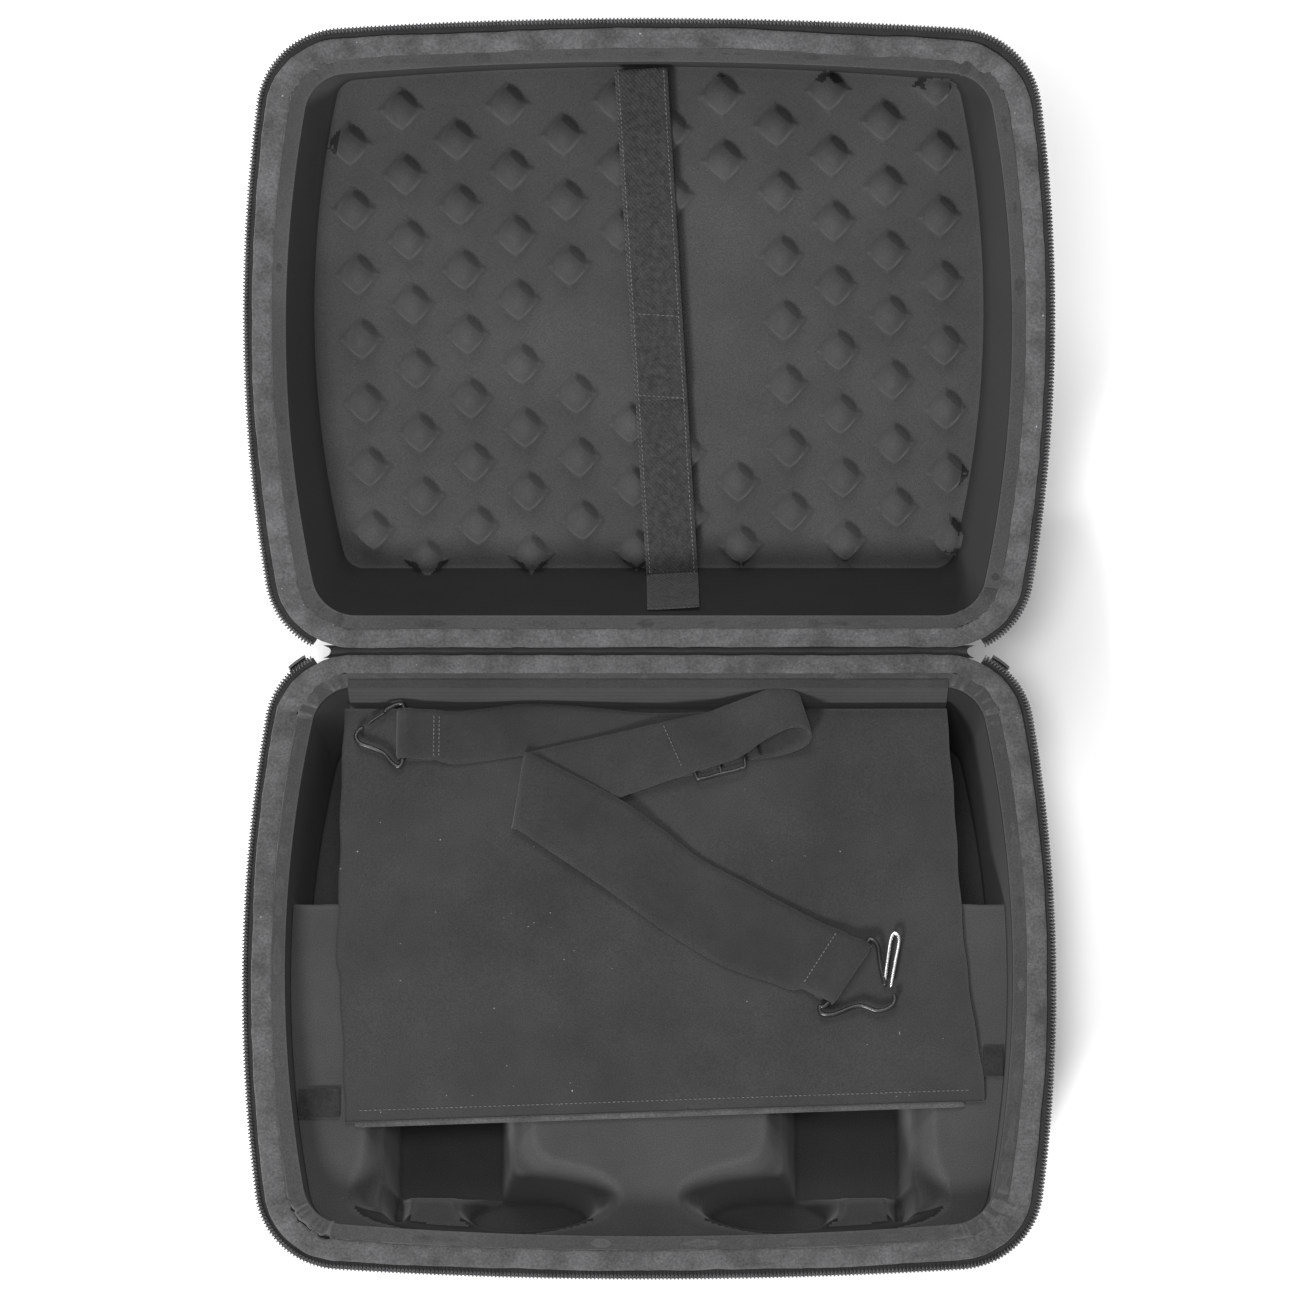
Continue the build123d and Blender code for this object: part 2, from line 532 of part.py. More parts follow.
# Carry handle on two moulded brackets on the front wall
with BuildPart() as handle_brackets:
    for side in (-1, 1):
        with Locations((side * (HANDLE_HALF + 3), HANDLE_Y + 6, HANDLE_Z)):
            Box(26, 4.6, 24)
        with Locations((side * (HANDLE_HALF + 7), HANDLE_Y + 1, HANDLE_Z + 0.5)):
            Box(5, 9, 12)
        with Locations(Location((side * (HANDLE_HALF + 7), HANDLE_Y, HANDLE_Z), (0, 90, 0))):
            Cylinder(PIN_RADIUS + PIN_GAP, 6, mode=Mode.SUBTRACT)
    add(base_shell.part, mode=Mode.SUBTRACT)
with BuildPart() as carry_handle:
    with BuildLine() as grip_line:
        handle_bottom = HANDLE_Z - HANDLE_DROP
        FilletPolyline((-HANDLE_HALF, HANDLE_Y, HANDLE_Z), (-HANDLE_HALF, HANDLE_Y, handle_bottom),
                       (HANDLE_HALF, HANDLE_Y, handle_bottom), (HANDLE_HALF, HANDLE_Y, HANDLE_Z),
                       radius=HANDLE_BEND)
    with BuildSketch(Plane(origin=grip_line.line @ 0, x_dir=(1, 0, 0), z_dir=(0, 0, -1))):
        RectangleRounded(*HANDLE_GRIP, 2)
    sweep()
    for side in (-1, 1):
        with Locations(Location((side * HANDLE_HALF, HANDLE_Y, HANDLE_Z), (0, 90, 0))):
            Cylinder(HANDLE_GRIP[1] / 2, HANDLE_GRIP[0])
        with Locations(Location((side * (HANDLE_HALF + 6.5), HANDLE_Y, HANDLE_Z), (0, 90, 0))):
            Cylinder(PIN_RADIUS, 6)

# Write each piece to its own file; the lid's pieces swing open first
base_pieces = {
    "base_shell": base_shell, "base_liner": base_liner, "base_binding": base_binding,
    "base_zip_tape": base_zip_tape, "base_zip_coil": base_zip_coil, "hinge_spine": hinge_spine,
    "flap_panel": flap_panel, "flap_hem": flap_hem, "flap_anchor": flap_anchor,
    "strap_webbing": strap_webbing, "strap_slider": strap_slider,
    "hook_frame_left": hook_frame_left, "hook_frame_right": hook_frame_right,
    "hook_gate_left": hook_gate_left, "hook_gate_right": hook_gate_right,
    "handle_brackets": handle_brackets, "carry_handle": carry_handle,
    **tabs, **sliders, **pulls, **rings, **ring_tabs,
}
lid_pieces = {
    "lid_shell": lid_shell, "lid_liner": lid_liner, "lid_binding": lid_binding,
    "lid_zip_tape": lid_zip_tape, "lid_zip_coil": lid_zip_coil,
    "lid_strap_upper": lid_strap_upper, "lid_strap_lower": lid_strap_lower, "hook_patch": hook_patch,
}
os.makedirs("parts", exist_ok=True)
for name, piece in base_pieces.items():
    piece.part.label = name
    export_step(piece.part, f"parts/{name}.step")
for name, piece in lid_pieces.items():
    opened = piece.part.rotate(hinge_axis, -OPEN_ANGLE)
    opened.label = name
    export_step(opened, f"parts/{name}.step")
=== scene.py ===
"""Looks of the console carrying case: cloth, webbing, zip teeth and wire.

Sizes are in millimetres in the frame of the CAD parts, turned into metres when a mesh is made.
Pieces of the lid are worked out closed, above the rim, and swung open by opened().
"""
import math

import bpy
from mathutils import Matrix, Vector
import numpy as np


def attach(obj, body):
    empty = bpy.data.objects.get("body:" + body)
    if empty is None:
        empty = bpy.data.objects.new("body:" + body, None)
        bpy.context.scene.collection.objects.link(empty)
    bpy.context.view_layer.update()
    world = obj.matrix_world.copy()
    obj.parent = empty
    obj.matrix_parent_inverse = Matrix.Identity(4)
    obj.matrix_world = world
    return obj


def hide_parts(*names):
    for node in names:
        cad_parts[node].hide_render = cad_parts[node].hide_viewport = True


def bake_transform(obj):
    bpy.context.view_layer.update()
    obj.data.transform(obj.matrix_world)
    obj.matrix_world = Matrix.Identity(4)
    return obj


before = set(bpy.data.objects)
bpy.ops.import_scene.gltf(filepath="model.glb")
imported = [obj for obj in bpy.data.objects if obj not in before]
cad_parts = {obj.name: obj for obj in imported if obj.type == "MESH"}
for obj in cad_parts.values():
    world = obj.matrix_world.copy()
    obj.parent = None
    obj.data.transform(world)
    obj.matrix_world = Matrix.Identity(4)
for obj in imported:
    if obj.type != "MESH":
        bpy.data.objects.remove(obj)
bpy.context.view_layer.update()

MM = 0.001

# Rim
RIM_WIDTH, RIM_FRONT = 412.0, 346.0
SIDE_BOW, FRONT_BOW = 16.5, 8.0
CORNER_RADIUS = 48.0
BACK_EDGE = 3.6
HINGE_Y = 176.0
RIM_Z = 92.0
OPEN_ANGLE = math.radians(-146.0)
RIM_COUNTS = (110, 54, 170, 110)   # points on half the back, a corner, a side, half the front

# Bands across the rim: insets from the zip edge, heights from the rim plane
BINDING = (5.4, 16.4)
BINDING_HEIGHTS = (0.4, 3.4)
LIP = (15.6, 23.0)
LIP_HEIGHTS = (1.0, 3.0)
TAPE_PROFILE = ((1.2, 2.5), (3.4, 2.3), (6, 2.9), (15, 2.9), (15, 3.4), (6, 3.4), (3.4, 3.4), (1.2, 3.2))
SPINE_HALF = 181.0
ZIP_NECK = 1.3

# Zip teeth
TOOTH_PITCH = 2.04
TOOTH_WIRE = 0.42
TOOTH_MIDDLE = (1.75, 1.45)       # inset and height of the coil's axis
TOOTH_REACH = (1.25, 0.72)

# Liners
TRAY_DEPTH = 20.0
WELL_DEPTH = 85.9
WELL_FRONT = 138.0
LID_FLOOR = 57.9
BASE_WALL_SLOPE = math.tan(math.radians(5.0))
LID_WALL_SLOPE = math.tan(math.radians(11.0))
WALL_START = 23.9
POCKET_X, POCKET_FRONT, POCKET_RADII = 89.0, 304.0, (71.0, 20.0)
NECK_X, NECK_HALF, NECK_BACK = 109.0, 43.5, 178.0
POCKET_STEP, POCKET_DEPTH = 14.0, 54.0
LOBE_X, LOBE_FRONT, LOBE_RADII = 66.0, 306.0, (37.0, 14.5)
SLOT_X, SLOT_FRONT, SLOT_RADII = 137.5, 303.0, (7.0, 12.0)

# Studs
STUD_COLUMNS = 12
STUD_PITCH = (29.45, 36.6)
STUD_REACH = 13.6
STUD_STEP, STUD_SLOPE = 3.4, 3.6
DOME_HEIGHT, DOME_RADII = 6.4, (8.6, 10.2)
DOME_POWER = 0.85
LONG_START, LONG_COUNT = 300.0, 8
SHORT_START, SHORT_COUNT = 281.7, 7
STUD_SKEW = math.radians(2.6)
STUD_SHIFT = 2.0
STUD_NEAR = 20.0            # reach within which a stud changes the liner
WALL_STEEP = 1.2            # rise over run above which the liner counts as wall and takes the painted-shade cloth
SMOOTH_PATCH = {4: (3,), 5: (3, 4), 6: (2, 3, 4), 7: (2, 3, 4, 5)}

# Lid strap
STRAP_WIDTH, STRAP_THICK = 29.0, 1.3
STRAP_LEAN = math.tan(math.radians(3.5))
STRAP_X, STRAP_MIDDLE = 4.2, 177.0   # the strap's middle line passes here
UPPER_STRAP, UPPER_DEPTH = (318.6, 132.0), 46.0
LOWER_STRAP, LOWER_DEPTH = (31.6, 190.0), 48.6

# Flap and shoulder strap
FLAP_Z = RIM_Z - 17.0
FLAP_THICK = 1.1
FLAP_LEFT = ((-170, 28), (-171, 120), (-171.5, 175), (-170, 181), (-167, 225), (-165, 264))
FLAP_RIGHT = ((166, 28), (170, 100), (173, 164), (177, 200), (182, 235), (182.5, 252))
WIRE = 1.3
HOOK_Z = FLAP_Z + 3.8


# Small geometry helpers
def opened(points):
    """Points of the closed lid, turned to where the lid lies open."""
    p = np.array(points, float)
    y, z = p[:, 1] - HINGE_Y, p[:, 2] - RIM_Z
    c, s = math.cos(OPEN_ANGLE), math.sin(OPEN_ANGLE)
    p[:, 1], p[:, 2] = HINGE_Y + y * c - z * s, RIM_Z + y * s + z * c
    return p


def smooth(edge0, edge1, x):
    t = np.clip((x - edge0) / (edge1 - edge0), 0, 1)
    return t * t * (3 - 2 * t)


def waves(positions, length, seed, octaves=3):
    """Smooth seeded noise along a line, about -1 to 1, with waves of the given length."""
    total = np.zeros(len(positions))
    local = np.random.default_rng(seed)
    for octave in range(octaves):
        scale = length / 2**octave
        knots = local.uniform(-1, 1, int(positions.max() / scale) + 4)
        at = positions / scale
        i = np.floor(at).astype(int)
        t = at - i
        t = t * t * (3 - 2 * t)
        total += (knots[i] * (1 - t) + knots[i + 1] * t) / 2**octave
    return total / 1.6


def mesh_piece(name, points, faces, material):
    """A smooth-shaded piece from points in millimetres."""
    mesh = bpy.data.meshes.new(name)
    mesh.from_pydata((np.array(points, float) * MM).tolist(), [], [tuple(map(int, f)) for f in faces])
    mesh.validate()
    mesh.update()
    mesh.polygons.foreach_set("use_smooth", [True] * len(mesh.polygons))
    piece = bpy.data.objects.new(name, mesh)
    bpy.context.scene.collection.objects.link(piece)
    mesh.materials.append(material)
    return piece


def grid_faces(rows, columns, wrap_rows=False, wrap_columns=False):
    """Quads of a grid of points stored row by row."""
    faces = []
    for i in range(rows if wrap_rows else rows - 1):
        for j in range(columns if wrap_columns else columns - 1):
            a, b = i, (i + 1) % rows
            c, d = j, (j + 1) % columns
            faces.append((a * columns + c, a * columns + d, b * columns + d, b * columns + c))
    return faces


def close_ends(faces, rings, around):
    """Add the two end faces of a swept form."""
    faces.append(tuple(range(around))[::-1])
    faces.append(tuple((rings - 1) * around + k for k in range(around)))


def thick_sheet(top, rows, columns, thick):
    """Points and faces of a grid of points made into a sheet, and the indices of its border."""
    count = len(top)
    faces = grid_faces(rows, columns)
    faces += [tuple(k + count for k in f[::-1]) for f in faces]
    border = list(range(columns)) + [r * columns + columns - 1 for r in range(1, rows)]
    border += [(rows - 1) * columns + c for c in range(columns - 2, -1, -1)]
    border += [r * columns for r in range(rows - 2, 0, -1)]
    for a, b in zip(border, border[1:] + border[:1]):
        faces.append((a, b, b + count, a + count))
    return np.vstack([top, top - np.array((0, 0, thick))]), faces, border


# The rim outline
def rim_loop(inset):
    """Points and inward normals of the zip outline moved inwards, from the middle of the back round
    the right and the front. Loops of different insets match point by point."""
    half_x = RIM_WIDTH / 2 - inset
    side_half = (RIM_FRONT + BACK_EDGE) / 2 - inset
    side_radius = side_half**2 / (2 * SIDE_BOW) + SIDE_BOW / 2
    mid_y = HINGE_Y + BACK_EDGE - (RIM_FRONT + BACK_EDGE) / 2
    front_radius = half_x**2 / (2 * FRONT_BOW) + FRONT_BOW / 2
    side_centre = np.array((half_x + SIDE_BOW - side_radius, mid_y))
    front_centre = np.array((0.0, HINGE_Y - RIM_FRONT + inset - FRONT_BOW + front_radius))
    back_y = HINGE_Y + BACK_EDGE - inset
    r = CORNER_RADIUS - inset
    reach = math.sqrt((side_radius - r)**2 - (back_y - r - mid_y)**2)
    back_corner = (side_centre[0] + reach, back_y - r)
    # the front corner touches the side arc and the front arc from inside
    ra, rb = side_radius - r, front_radius - r
    gap = np.linalg.norm(front_centre - side_centre)
    along = (ra**2 - rb**2 + gap**2) / (2 * gap)
    rise = math.sqrt(ra**2 - along**2)
    unit = (front_centre - side_centre) / gap
    options = [side_centre + unit * along + rise * np.array((-unit[1], unit[0])) * k for k in (-1, 1)]
    front_corner = min(options, key=lambda p: p[1])

    def arc(centre, radius, start, end, count):
        angles = np.linspace(start, end, count, endpoint=False)
        c, sn = np.cos(angles), np.sin(angles)
        return np.stack([centre[0] + radius * c, centre[1] + radius * sn, -c, -sn], 1)

    def heading(centre, corner):
        return math.atan2(corner[1] - centre[1], corner[0] - centre[0])

    to_back = heading(side_centre, back_corner)
    to_front = heading(side_centre, front_corner)
    down = heading(front_centre, front_corner)
    flat, bend, side, front = RIM_COUNTS
    back = np.zeros((flat, 4))
    back[:, 0] = np.linspace(0, back_corner[0], flat, endpoint=False)
    back[:, 1] = back_y
    back[:, 3] = -1
    half = np.vstack([
        back,
        arc(back_corner, r, math.pi / 2, to_back, bend),
        arc(side_centre, side_radius, to_back, to_front, side),
        arc(front_corner, r, to_front, down, bend),
        arc(front_centre, front_radius, down, -math.pi / 2, front),
        [[0, front_centre[1] - front_radius, 0, 1]],
    ])
    other = half[1:-1][::-1] * np.array((-1, 1, -1, 1))
    full = np.vstack([half, other])
    return full[:, :2], full[:, 2:]


RIM_XY, RIM_IN = rim_loop(0.0)
RIM_STEPS = np.hypot(*(np.roll(RIM_XY, -1, axis=0) - RIM_XY).T)
RIM_RUN = np.concatenate([[0], np.cumsum(RIM_STEPS)[:-1]])


def rim_at(inset, shift=0.0):
    xy, inward = rim_loop(inset)
    return xy + inward * np.broadcast_to(np.array(shift, float), len(xy))[:, None]


def corner_share():
    """1 in the rim's corners, 0 on its straight sides."""
    turn = np.linalg.norm(RIM_IN - np.roll(RIM_IN, 1, axis=0), axis=1) / RIM_STEPS * CORNER_RADIUS
    return np.clip(turn, 0, 1)


def rim_band(name, profile, lid, material, wobble=None, neck=False):
    """A band swept round the rim. The profile's rows give (inset, height); heights count from the
    rim plane into each half. wobble adds (inset, height) changes along the run, and neck leaves out
    the back."""
    profile = np.array(profile, float)
    rows = []
    keep = np.ones(len(RIM_XY), bool)
    if neck:
        keep = RIM_XY[:, 1] < HINGE_Y - ZIP_NECK
    for inset, height in profile:
        shift_in, shift_up = wobble(inset) if wobble else (0.0, 0.0)
        xy = rim_at(inset, shift_in)
        z = np.broadcast_to(np.array(height + shift_up, float), len(xy))
        rows.append(np.column_stack([xy, RIM_Z + (z if lid else -z)])[keep])
    points = np.stack(rows, 1)
    count, width = points.shape[:2]
    flat = points.reshape(-1, 3)
    if lid:
        flat = opened(flat)
    faces = grid_faces(count, width, wrap_rows=not neck, wrap_columns=True)
    if neck:
        close_ends(faces, count, width)
    return mesh_piece(name, flat, faces, material)


# Materials
def new_material(name):
    material = bpy.data.materials.new(name)
    material.use_nodes = True
    nodes, links = material.node_tree.nodes, material.node_tree.links
    shader = nodes["Principled BSDF"]
    return material, nodes, links, shader


def ramp(nodes, links, source, low, high, colour_low, colour_high):
    node = nodes.new("ShaderNodeValToRGB")
    node.color_ramp.elements[0].position = low
    node.color_ramp.elements[1].position = high
    node.color_ramp.elements[0].color = (*colour_low, 1)
    node.color_ramp.elements[1].color = (*colour_high, 1)
    links.new(source, node.inputs["Fac"])
    return node


def noise(nodes, links, vector, scale, detail=3.0, roughness=0.6):
    node = nodes.new("ShaderNodeTexNoise")
    node.inputs["Scale"].default_value = scale
    node.inputs["Detail"].default_value = detail
    node.inputs["Roughness"].default_value = roughness
    links.new(vector, node.inputs["Vector"])
    return node.outputs["Fac"]


def add_math(nodes, links, operation, a, b):
    node = nodes.new("ShaderNodeMath")
    node.operation = operation
    for socket, value in zip(node.inputs, (a, b)):
        if isinstance(value, (int, float)):
            socket.default_value = value
        else:
            links.new(value, socket)
    return node.outputs[0]


def bump(nodes, links, height, strength, distance):
    node = nodes.new("ShaderNodeBump")
    node.inputs["Strength"].default_value = strength
    node.inputs["Distance"].default_value = distance
    links.new(height, node.inputs["Height"])
    return node.outputs["Normal"]


def blended(nodes, links, mode, factor, first, second):
    """Two colours put together in the given way."""
    mix = nodes.new("ShaderNodeMix")
    mix.data_type = "RGBA"
    mix.blend_type = mode
    mix.inputs["Factor"].default_value = factor
    links.new(first, mix.inputs[6])
    links.new(second, mix.inputs[7])
    return mix.outputs[2]


def cloth(name, dark, light, patch_scale=18.0, grain_scale=900.0, grain_bump=0.35, weave=None,
          weave_turn=(0.0, 0.0, 0.0), weave_bump=0.5, lint=0.0, rough=0.92, sheen=0.25, edge=0.0):
    """Cloth in a mottled grey with fibre grain. weave gives thread pitches in mm along two ways,
    lint the share of stray light fibres, edge the strength of a painted highlight on raised edges."""
    material, nodes, links, shader = new_material(name)
    place = nodes.new("ShaderNodeTexCoord").outputs["Object"]
    patches = noise(nodes, links, place, patch_scale, 4.0, 0.62)
    colour = ramp(nodes, links, patches, 0.32, 0.70, dark, light).outputs["Color"]
    grain = noise(nodes, links, place, grain_scale, 2.0, 0.7)
    tone = ramp(nodes, links, grain, 0.30, 0.72, (0.55, 0.55, 0.55), (1.5, 1.5, 1.5)).outputs["Color"]
    colour = blended(nodes, links, "MULTIPLY", 0.75, colour, tone)
    height = grain
    strength = grain_bump
    if weave:
        turned = nodes.new("ShaderNodeMapping")
        turned.inputs["Rotation"].default_value = weave_turn
        links.new(place, turned.inputs["Vector"])
        threads = []
        for pitch, axis in zip(weave, ("X", "Y")):
            wave = nodes.new("ShaderNodeTexWave")
            wave.bands_direction = axis
            wave.inputs["Scale"].default_value = 2 * math.pi / (20 * pitch * MM)
            wave.inputs["Distortion"].default_value = 0.6
            wave.inputs["Detail"].default_value = 1.0
            links.new(turned.outputs["Vector"], wave.inputs["Vector"])
            threads.append(wave.outputs["Fac"])
        woven = add_math(nodes, links, "MULTIPLY", threads[0], threads[1])
        height = add_math(nodes, links, "ADD", add_math(nodes, links, "MULTIPLY", woven, 0.9), grain)
        shade = ramp(nodes, links, woven, 0.0, 0.8, (0.72, 0.72, 0.72), (1.25, 1.25, 1.25))
        colour = blended(nodes, links, "MULTIPLY", 0.8, colour, shade.outputs["Color"])
        strength = weave_bump
    # Painted highlight: raised edges are lightened as if they caught the light.
    if edge:
        point = nodes.new("ShaderNodeNewGeometry").outputs["Pointiness"]
        painted_edge_highlight = ramp(nodes, links, point, 0.50, 0.56, (0, 0, 0), (edge, edge, edge)).outputs["Color"]
        colour = blended(nodes, links, "ADD", 1.0, colour, painted_edge_highlight)
    if lint:
        dust = noise(nodes, links, place, 420.0, 1.0, 0.5)
        specks = ramp(nodes, links, dust, 0.80 - lint, 0.84 - lint, (0, 0, 0), (0.16, 0.16, 0.16))
        colour = blended(nodes, links, "ADD", 1.0, colour, specks.outputs["Color"])
    links.new(colour, shader.inputs["Base Color"])
    links.new(bump(nodes, links, height, strength, 0.0006), shader.inputs["Normal"])
    shader.inputs["Roughness"].default_value = rough
    shader.inputs["Sheen Weight"].default_value = sheen
    shader.inputs["Sheen Roughness"].default_value = 0.5
    shader.inputs["Specular IOR Level"].default_value = 0.25
    return material


def hard(name, colour, rough=0.4, metallic=0.0, grain_scale=1500.0, grain=0.15, wear=0.08):
    """Plastic, rubber or metal with a fine grain and slightly uneven gloss."""
    material, nodes, links, shader = new_material(name)
    place = nodes.new("ShaderNodeTexCoord").outputs["Object"]
    marks = noise(nodes, links, place, grain_scale, 3.0)
    patches = noise(nodes, links, place, 60.0, 4.0)
    lighter = tuple(min(c * 1.6 + wear * 0.2, 1) for c in colour)
    tint = ramp(nodes, links, patches, 0.35, 0.75, colour, lighter)
    links.new(tint.outputs["Color"], shader.inputs["Base Color"])
    gloss = add_math(nodes, links, "MULTIPLY_ADD", patches, 0.25)
    gloss.node.inputs[2].default_value = rough - 0.12
    links.new(gloss, shader.inputs["Roughness"])
    links.new(bump(nodes, links, marks, grain, 0.0002), shader.inputs["Normal"])
    shader.inputs["Metallic"].default_value = metallic
    return material


def grey(value):
    return (value, value, value * 1.03)


liner_cloth = cloth("liner_cloth", grey(0.024), grey(0.036), 11.0, 1500.0, 0.18, sheen=0.12, edge=0.012)
# The walls' cloth is the liner's own cloth made darker: painted shade for the steep liner walls.
painted_shade_wall_cloth = cloth("painted_shade_wall_cloth", grey(0.006), grey(0.010), 11.0, 1500.0, 0.18, sheen=0.04)
binding_cloth = cloth("binding_cloth", grey(0.030), grey(0.070), 60.0, 700.0, 0.9, sheen=0.25, lint=0.01)
lip_cloth = cloth("lip_cloth", grey(0.016), grey(0.034), 40.0, 900.0, 0.4, edge=0.03)
tape_cloth = cloth("tape_cloth", grey(0.008), grey(0.014), 60.0, 900.0, 0.3, weave=(0.6, 0.9))
outer_cloth = cloth("outer_cloth", grey(0.014), grey(0.023), 14.0, 1200.0, 0.3, weave=(0.8, 0.8),
                    weave_turn=(0.0, 0.0, 0.785), sheen=0.1)
flap_cloth = cloth("flap_cloth", grey(0.019), grey(0.030), 14.0, 1400.0, 0.3, weave=(0.5, 0.5),
                   weave_bump=0.25, lint=0.002, sheen=0.12)
hem_cloth = cloth("hem_cloth", grey(0.030), grey(0.055), 50.0, 900.0, 0.5, sheen=0.2)
strap_cloth = cloth("strap_cloth", grey(0.017), grey(0.028), 22.0, 1300.0, 0.4, weave=(0.55, 0.55),
                    weave_turn=(0.0, 0.0, 0.6), sheen=0.12)
twill_cloth = cloth("twill_cloth", grey(0.014), grey(0.034), 300.0, 1300.0, 0.5, weave=(0.9, 1.6),
                    weave_bump=0.8, weave_turn=(0.0, 0.0, 0.75), sheen=0.12)
fuzzy_tape = cloth("fuzzy_tape", grey(0.008), grey(0.016), 90.0, 700.0, 0.9, sheen=0.12)
thread = cloth("thread", grey(0.05), grey(0.10), 200.0, 900.0, 0.4)
tooth_plastic = hard("tooth_plastic", (0.035, 0.035, 0.037), 0.35)
black_metal = hard("black_metal", (0.012, 0.012, 0.013), 0.32, 0.4)
bright_metal = hard("bright_metal", (0.62, 0.62, 0.63), 0.22, 1.0, grain=0.05)
rubber = hard("rubber", (0.018, 0.018, 0.019), 0.55)
plastic = hard("plastic", (0.016, 0.016, 0.017), 0.45)


# Moulded liners: rings near the rim, then a patch of even quads
def coons(loop, steps_u, steps_v):
    """Grid of plan points inside a closed loop of 2 * (steps_u + steps_v) points that starts at a
    corner and runs along u first."""
    u_side = loop[:steps_u + 1]
    v_far = loop[steps_u:steps_u + steps_v + 1]
    u_far = loop[steps_u + steps_v:2 * steps_u + steps_v + 1][::-1]
    v_near = np.vstack([loop[2 * steps_u + steps_v:], loop[:1]])[::-1]
    u = np.linspace(0, 1, steps_u + 1)[:, None, None]
    v = np.linspace(0, 1, steps_v + 1)[None, :, None]
    ruled_v = (1 - v) * u_side[:, None] + v * u_far[:, None]
    ruled_u = (1 - u) * v_near[None] + u * v_far[None]
    corners = ((1 - u) * (1 - v) * loop[0] + u * (1 - v) * u_side[-1] + (1 - u) * v * u_far[0]
               + u * v * u_far[-1])
    return ruled_v + ruled_u - corners


def moulded(name, rings, height, lid, material, steps_u=230, steps_v=190):
    """A cloth-covered moulding: height(x, y, inset) counts from the rim plane into the half. Steep wall
    faces get a darker copy of the cloth as painted shade.
    """
    count = 2 * (steps_u + steps_v)
    # corner middles in running order: back right, front right, front left, back left
    quadrants = [(1, 1), (1, -1), (-1, -1), (-1, 1)]
    picks = [int(np.argmax(RIM_XY[:, 0] * sx + (RIM_XY[:, 1] - 3) * sy)) for sx, sy in quadrants]
    total = len(RIM_XY)
    ids = []
    for k, steps in enumerate([steps_v, steps_u, steps_v, steps_u]):
        span = (picks[(k + 1) % 4] - picks[k]) % total
        ids.append((picks[k] + np.arange(steps) / steps * span) % total)
    ids = np.concatenate(ids)
    base = np.arange(total + 1)
    points, faces, insets = [], [], []
    for inset in rings:
        loop = rim_at(inset)
        closed = [np.append(loop[:, k], loop[0, k]) for k in (0, 1)]
        points.append(np.stack([np.interp(ids, base, row) for row in closed], 1))
        insets.append(np.full(count, inset))
    for k in range(len(rings) - 1):
        for j in range(count):
            n = (j + 1) % count
            faces.append((k * count + j, k * count + n, (k + 1) * count + n, (k + 1) * count + j))
    patch = coons(points[-1], steps_v, steps_u)
    offset = (len(rings) - 1) * count
    inside_start = len(rings) * count
    index = np.empty((steps_v + 1, steps_u + 1), int)
    extra = []
    for i in range(steps_v + 1):
        for j in range(steps_u + 1):
            if j == 0:
                index[i, j] = offset + i
            elif i == steps_v:
                index[i, j] = offset + steps_v + j
            elif j == steps_u:
                index[i, j] = offset + steps_v + steps_u + (steps_v - i)
            elif i == 0:
                index[i, j] = offset + 2 * steps_v + steps_u + (steps_u - j)
            else:
                index[i, j] = inside_start + len(extra)
                extra.append(patch[i, j])
    index[0, 0] = offset
    for i in range(steps_v):
        for j in range(steps_u):
            faces.append((index[i, j], index[i + 1, j], index[i + 1, j + 1], index[i, j + 1]))
    extra = np.array(extra)
    plan = np.vstack(points + [extra])
    depth_in = np.concatenate(insets + [np.full(len(extra), rings[-1])])
    h = height(plan[:, 0], plan[:, 1], depth_in)
    solid = np.column_stack([plan, RIM_Z + (h if lid else -h)])
    if lid:
        solid = opened(solid)
    else:
        faces = [f[::-1] for f in faces]
    piece = mesh_piece(name, solid, faces, material)
    # Steep wall faces take the darker cloth: painted shade on the same lining.
    piece.data.materials.append(painted_shade_wall_cloth)
    for polygon in piece.data.polygons:
        corners = list(polygon.vertices)
        across = depth_in[corners]
        on_wall = across.max() < rings[-1] and across.min() >= WALL_START
        if on_wall and np.ptp(h[corners]) > WALL_STEEP * np.ptp(across):
            polygon.material_index = 1
    return piece


def rounded_box(x, y, cx, cy, half_x, half_y, radius):
    """Signed distance to a rounded rectangle, negative inside."""
    qx, qy = np.abs(x - cx) - half_x + radius, np.abs(y - cy) - half_y + radius
    outside = np.hypot(np.maximum(qx, 0), np.maximum(qy, 0))
    return outside + np.minimum(np.maximum(qx, qy), 0) - radius


def oval(x, y, cx, cy, rx, ry):
    """Signed distance to an ellipse, near enough by its edge."""
    k = np.hypot((x - cx) / rx, (y - cy) / ry)
    g = np.hypot((x - cx) / rx**2, (y - cy) / ry**2) + 1e-9
    return k * (k - 1) / g


def soft_min(a, b, width):
    t = np.clip(0.5 + 0.5 * (b - a) / width, 0, 1)
    return b * (1 - t) + a * t - width * t * (1 - t)


def fall(distance, slope, round_top=2.0, round_low=3.0):
    """1 inside, 0 outside, over a wall of the given run, rounded at both ends."""
    return 1 - smooth(-slope - round_low, round_top, distance)


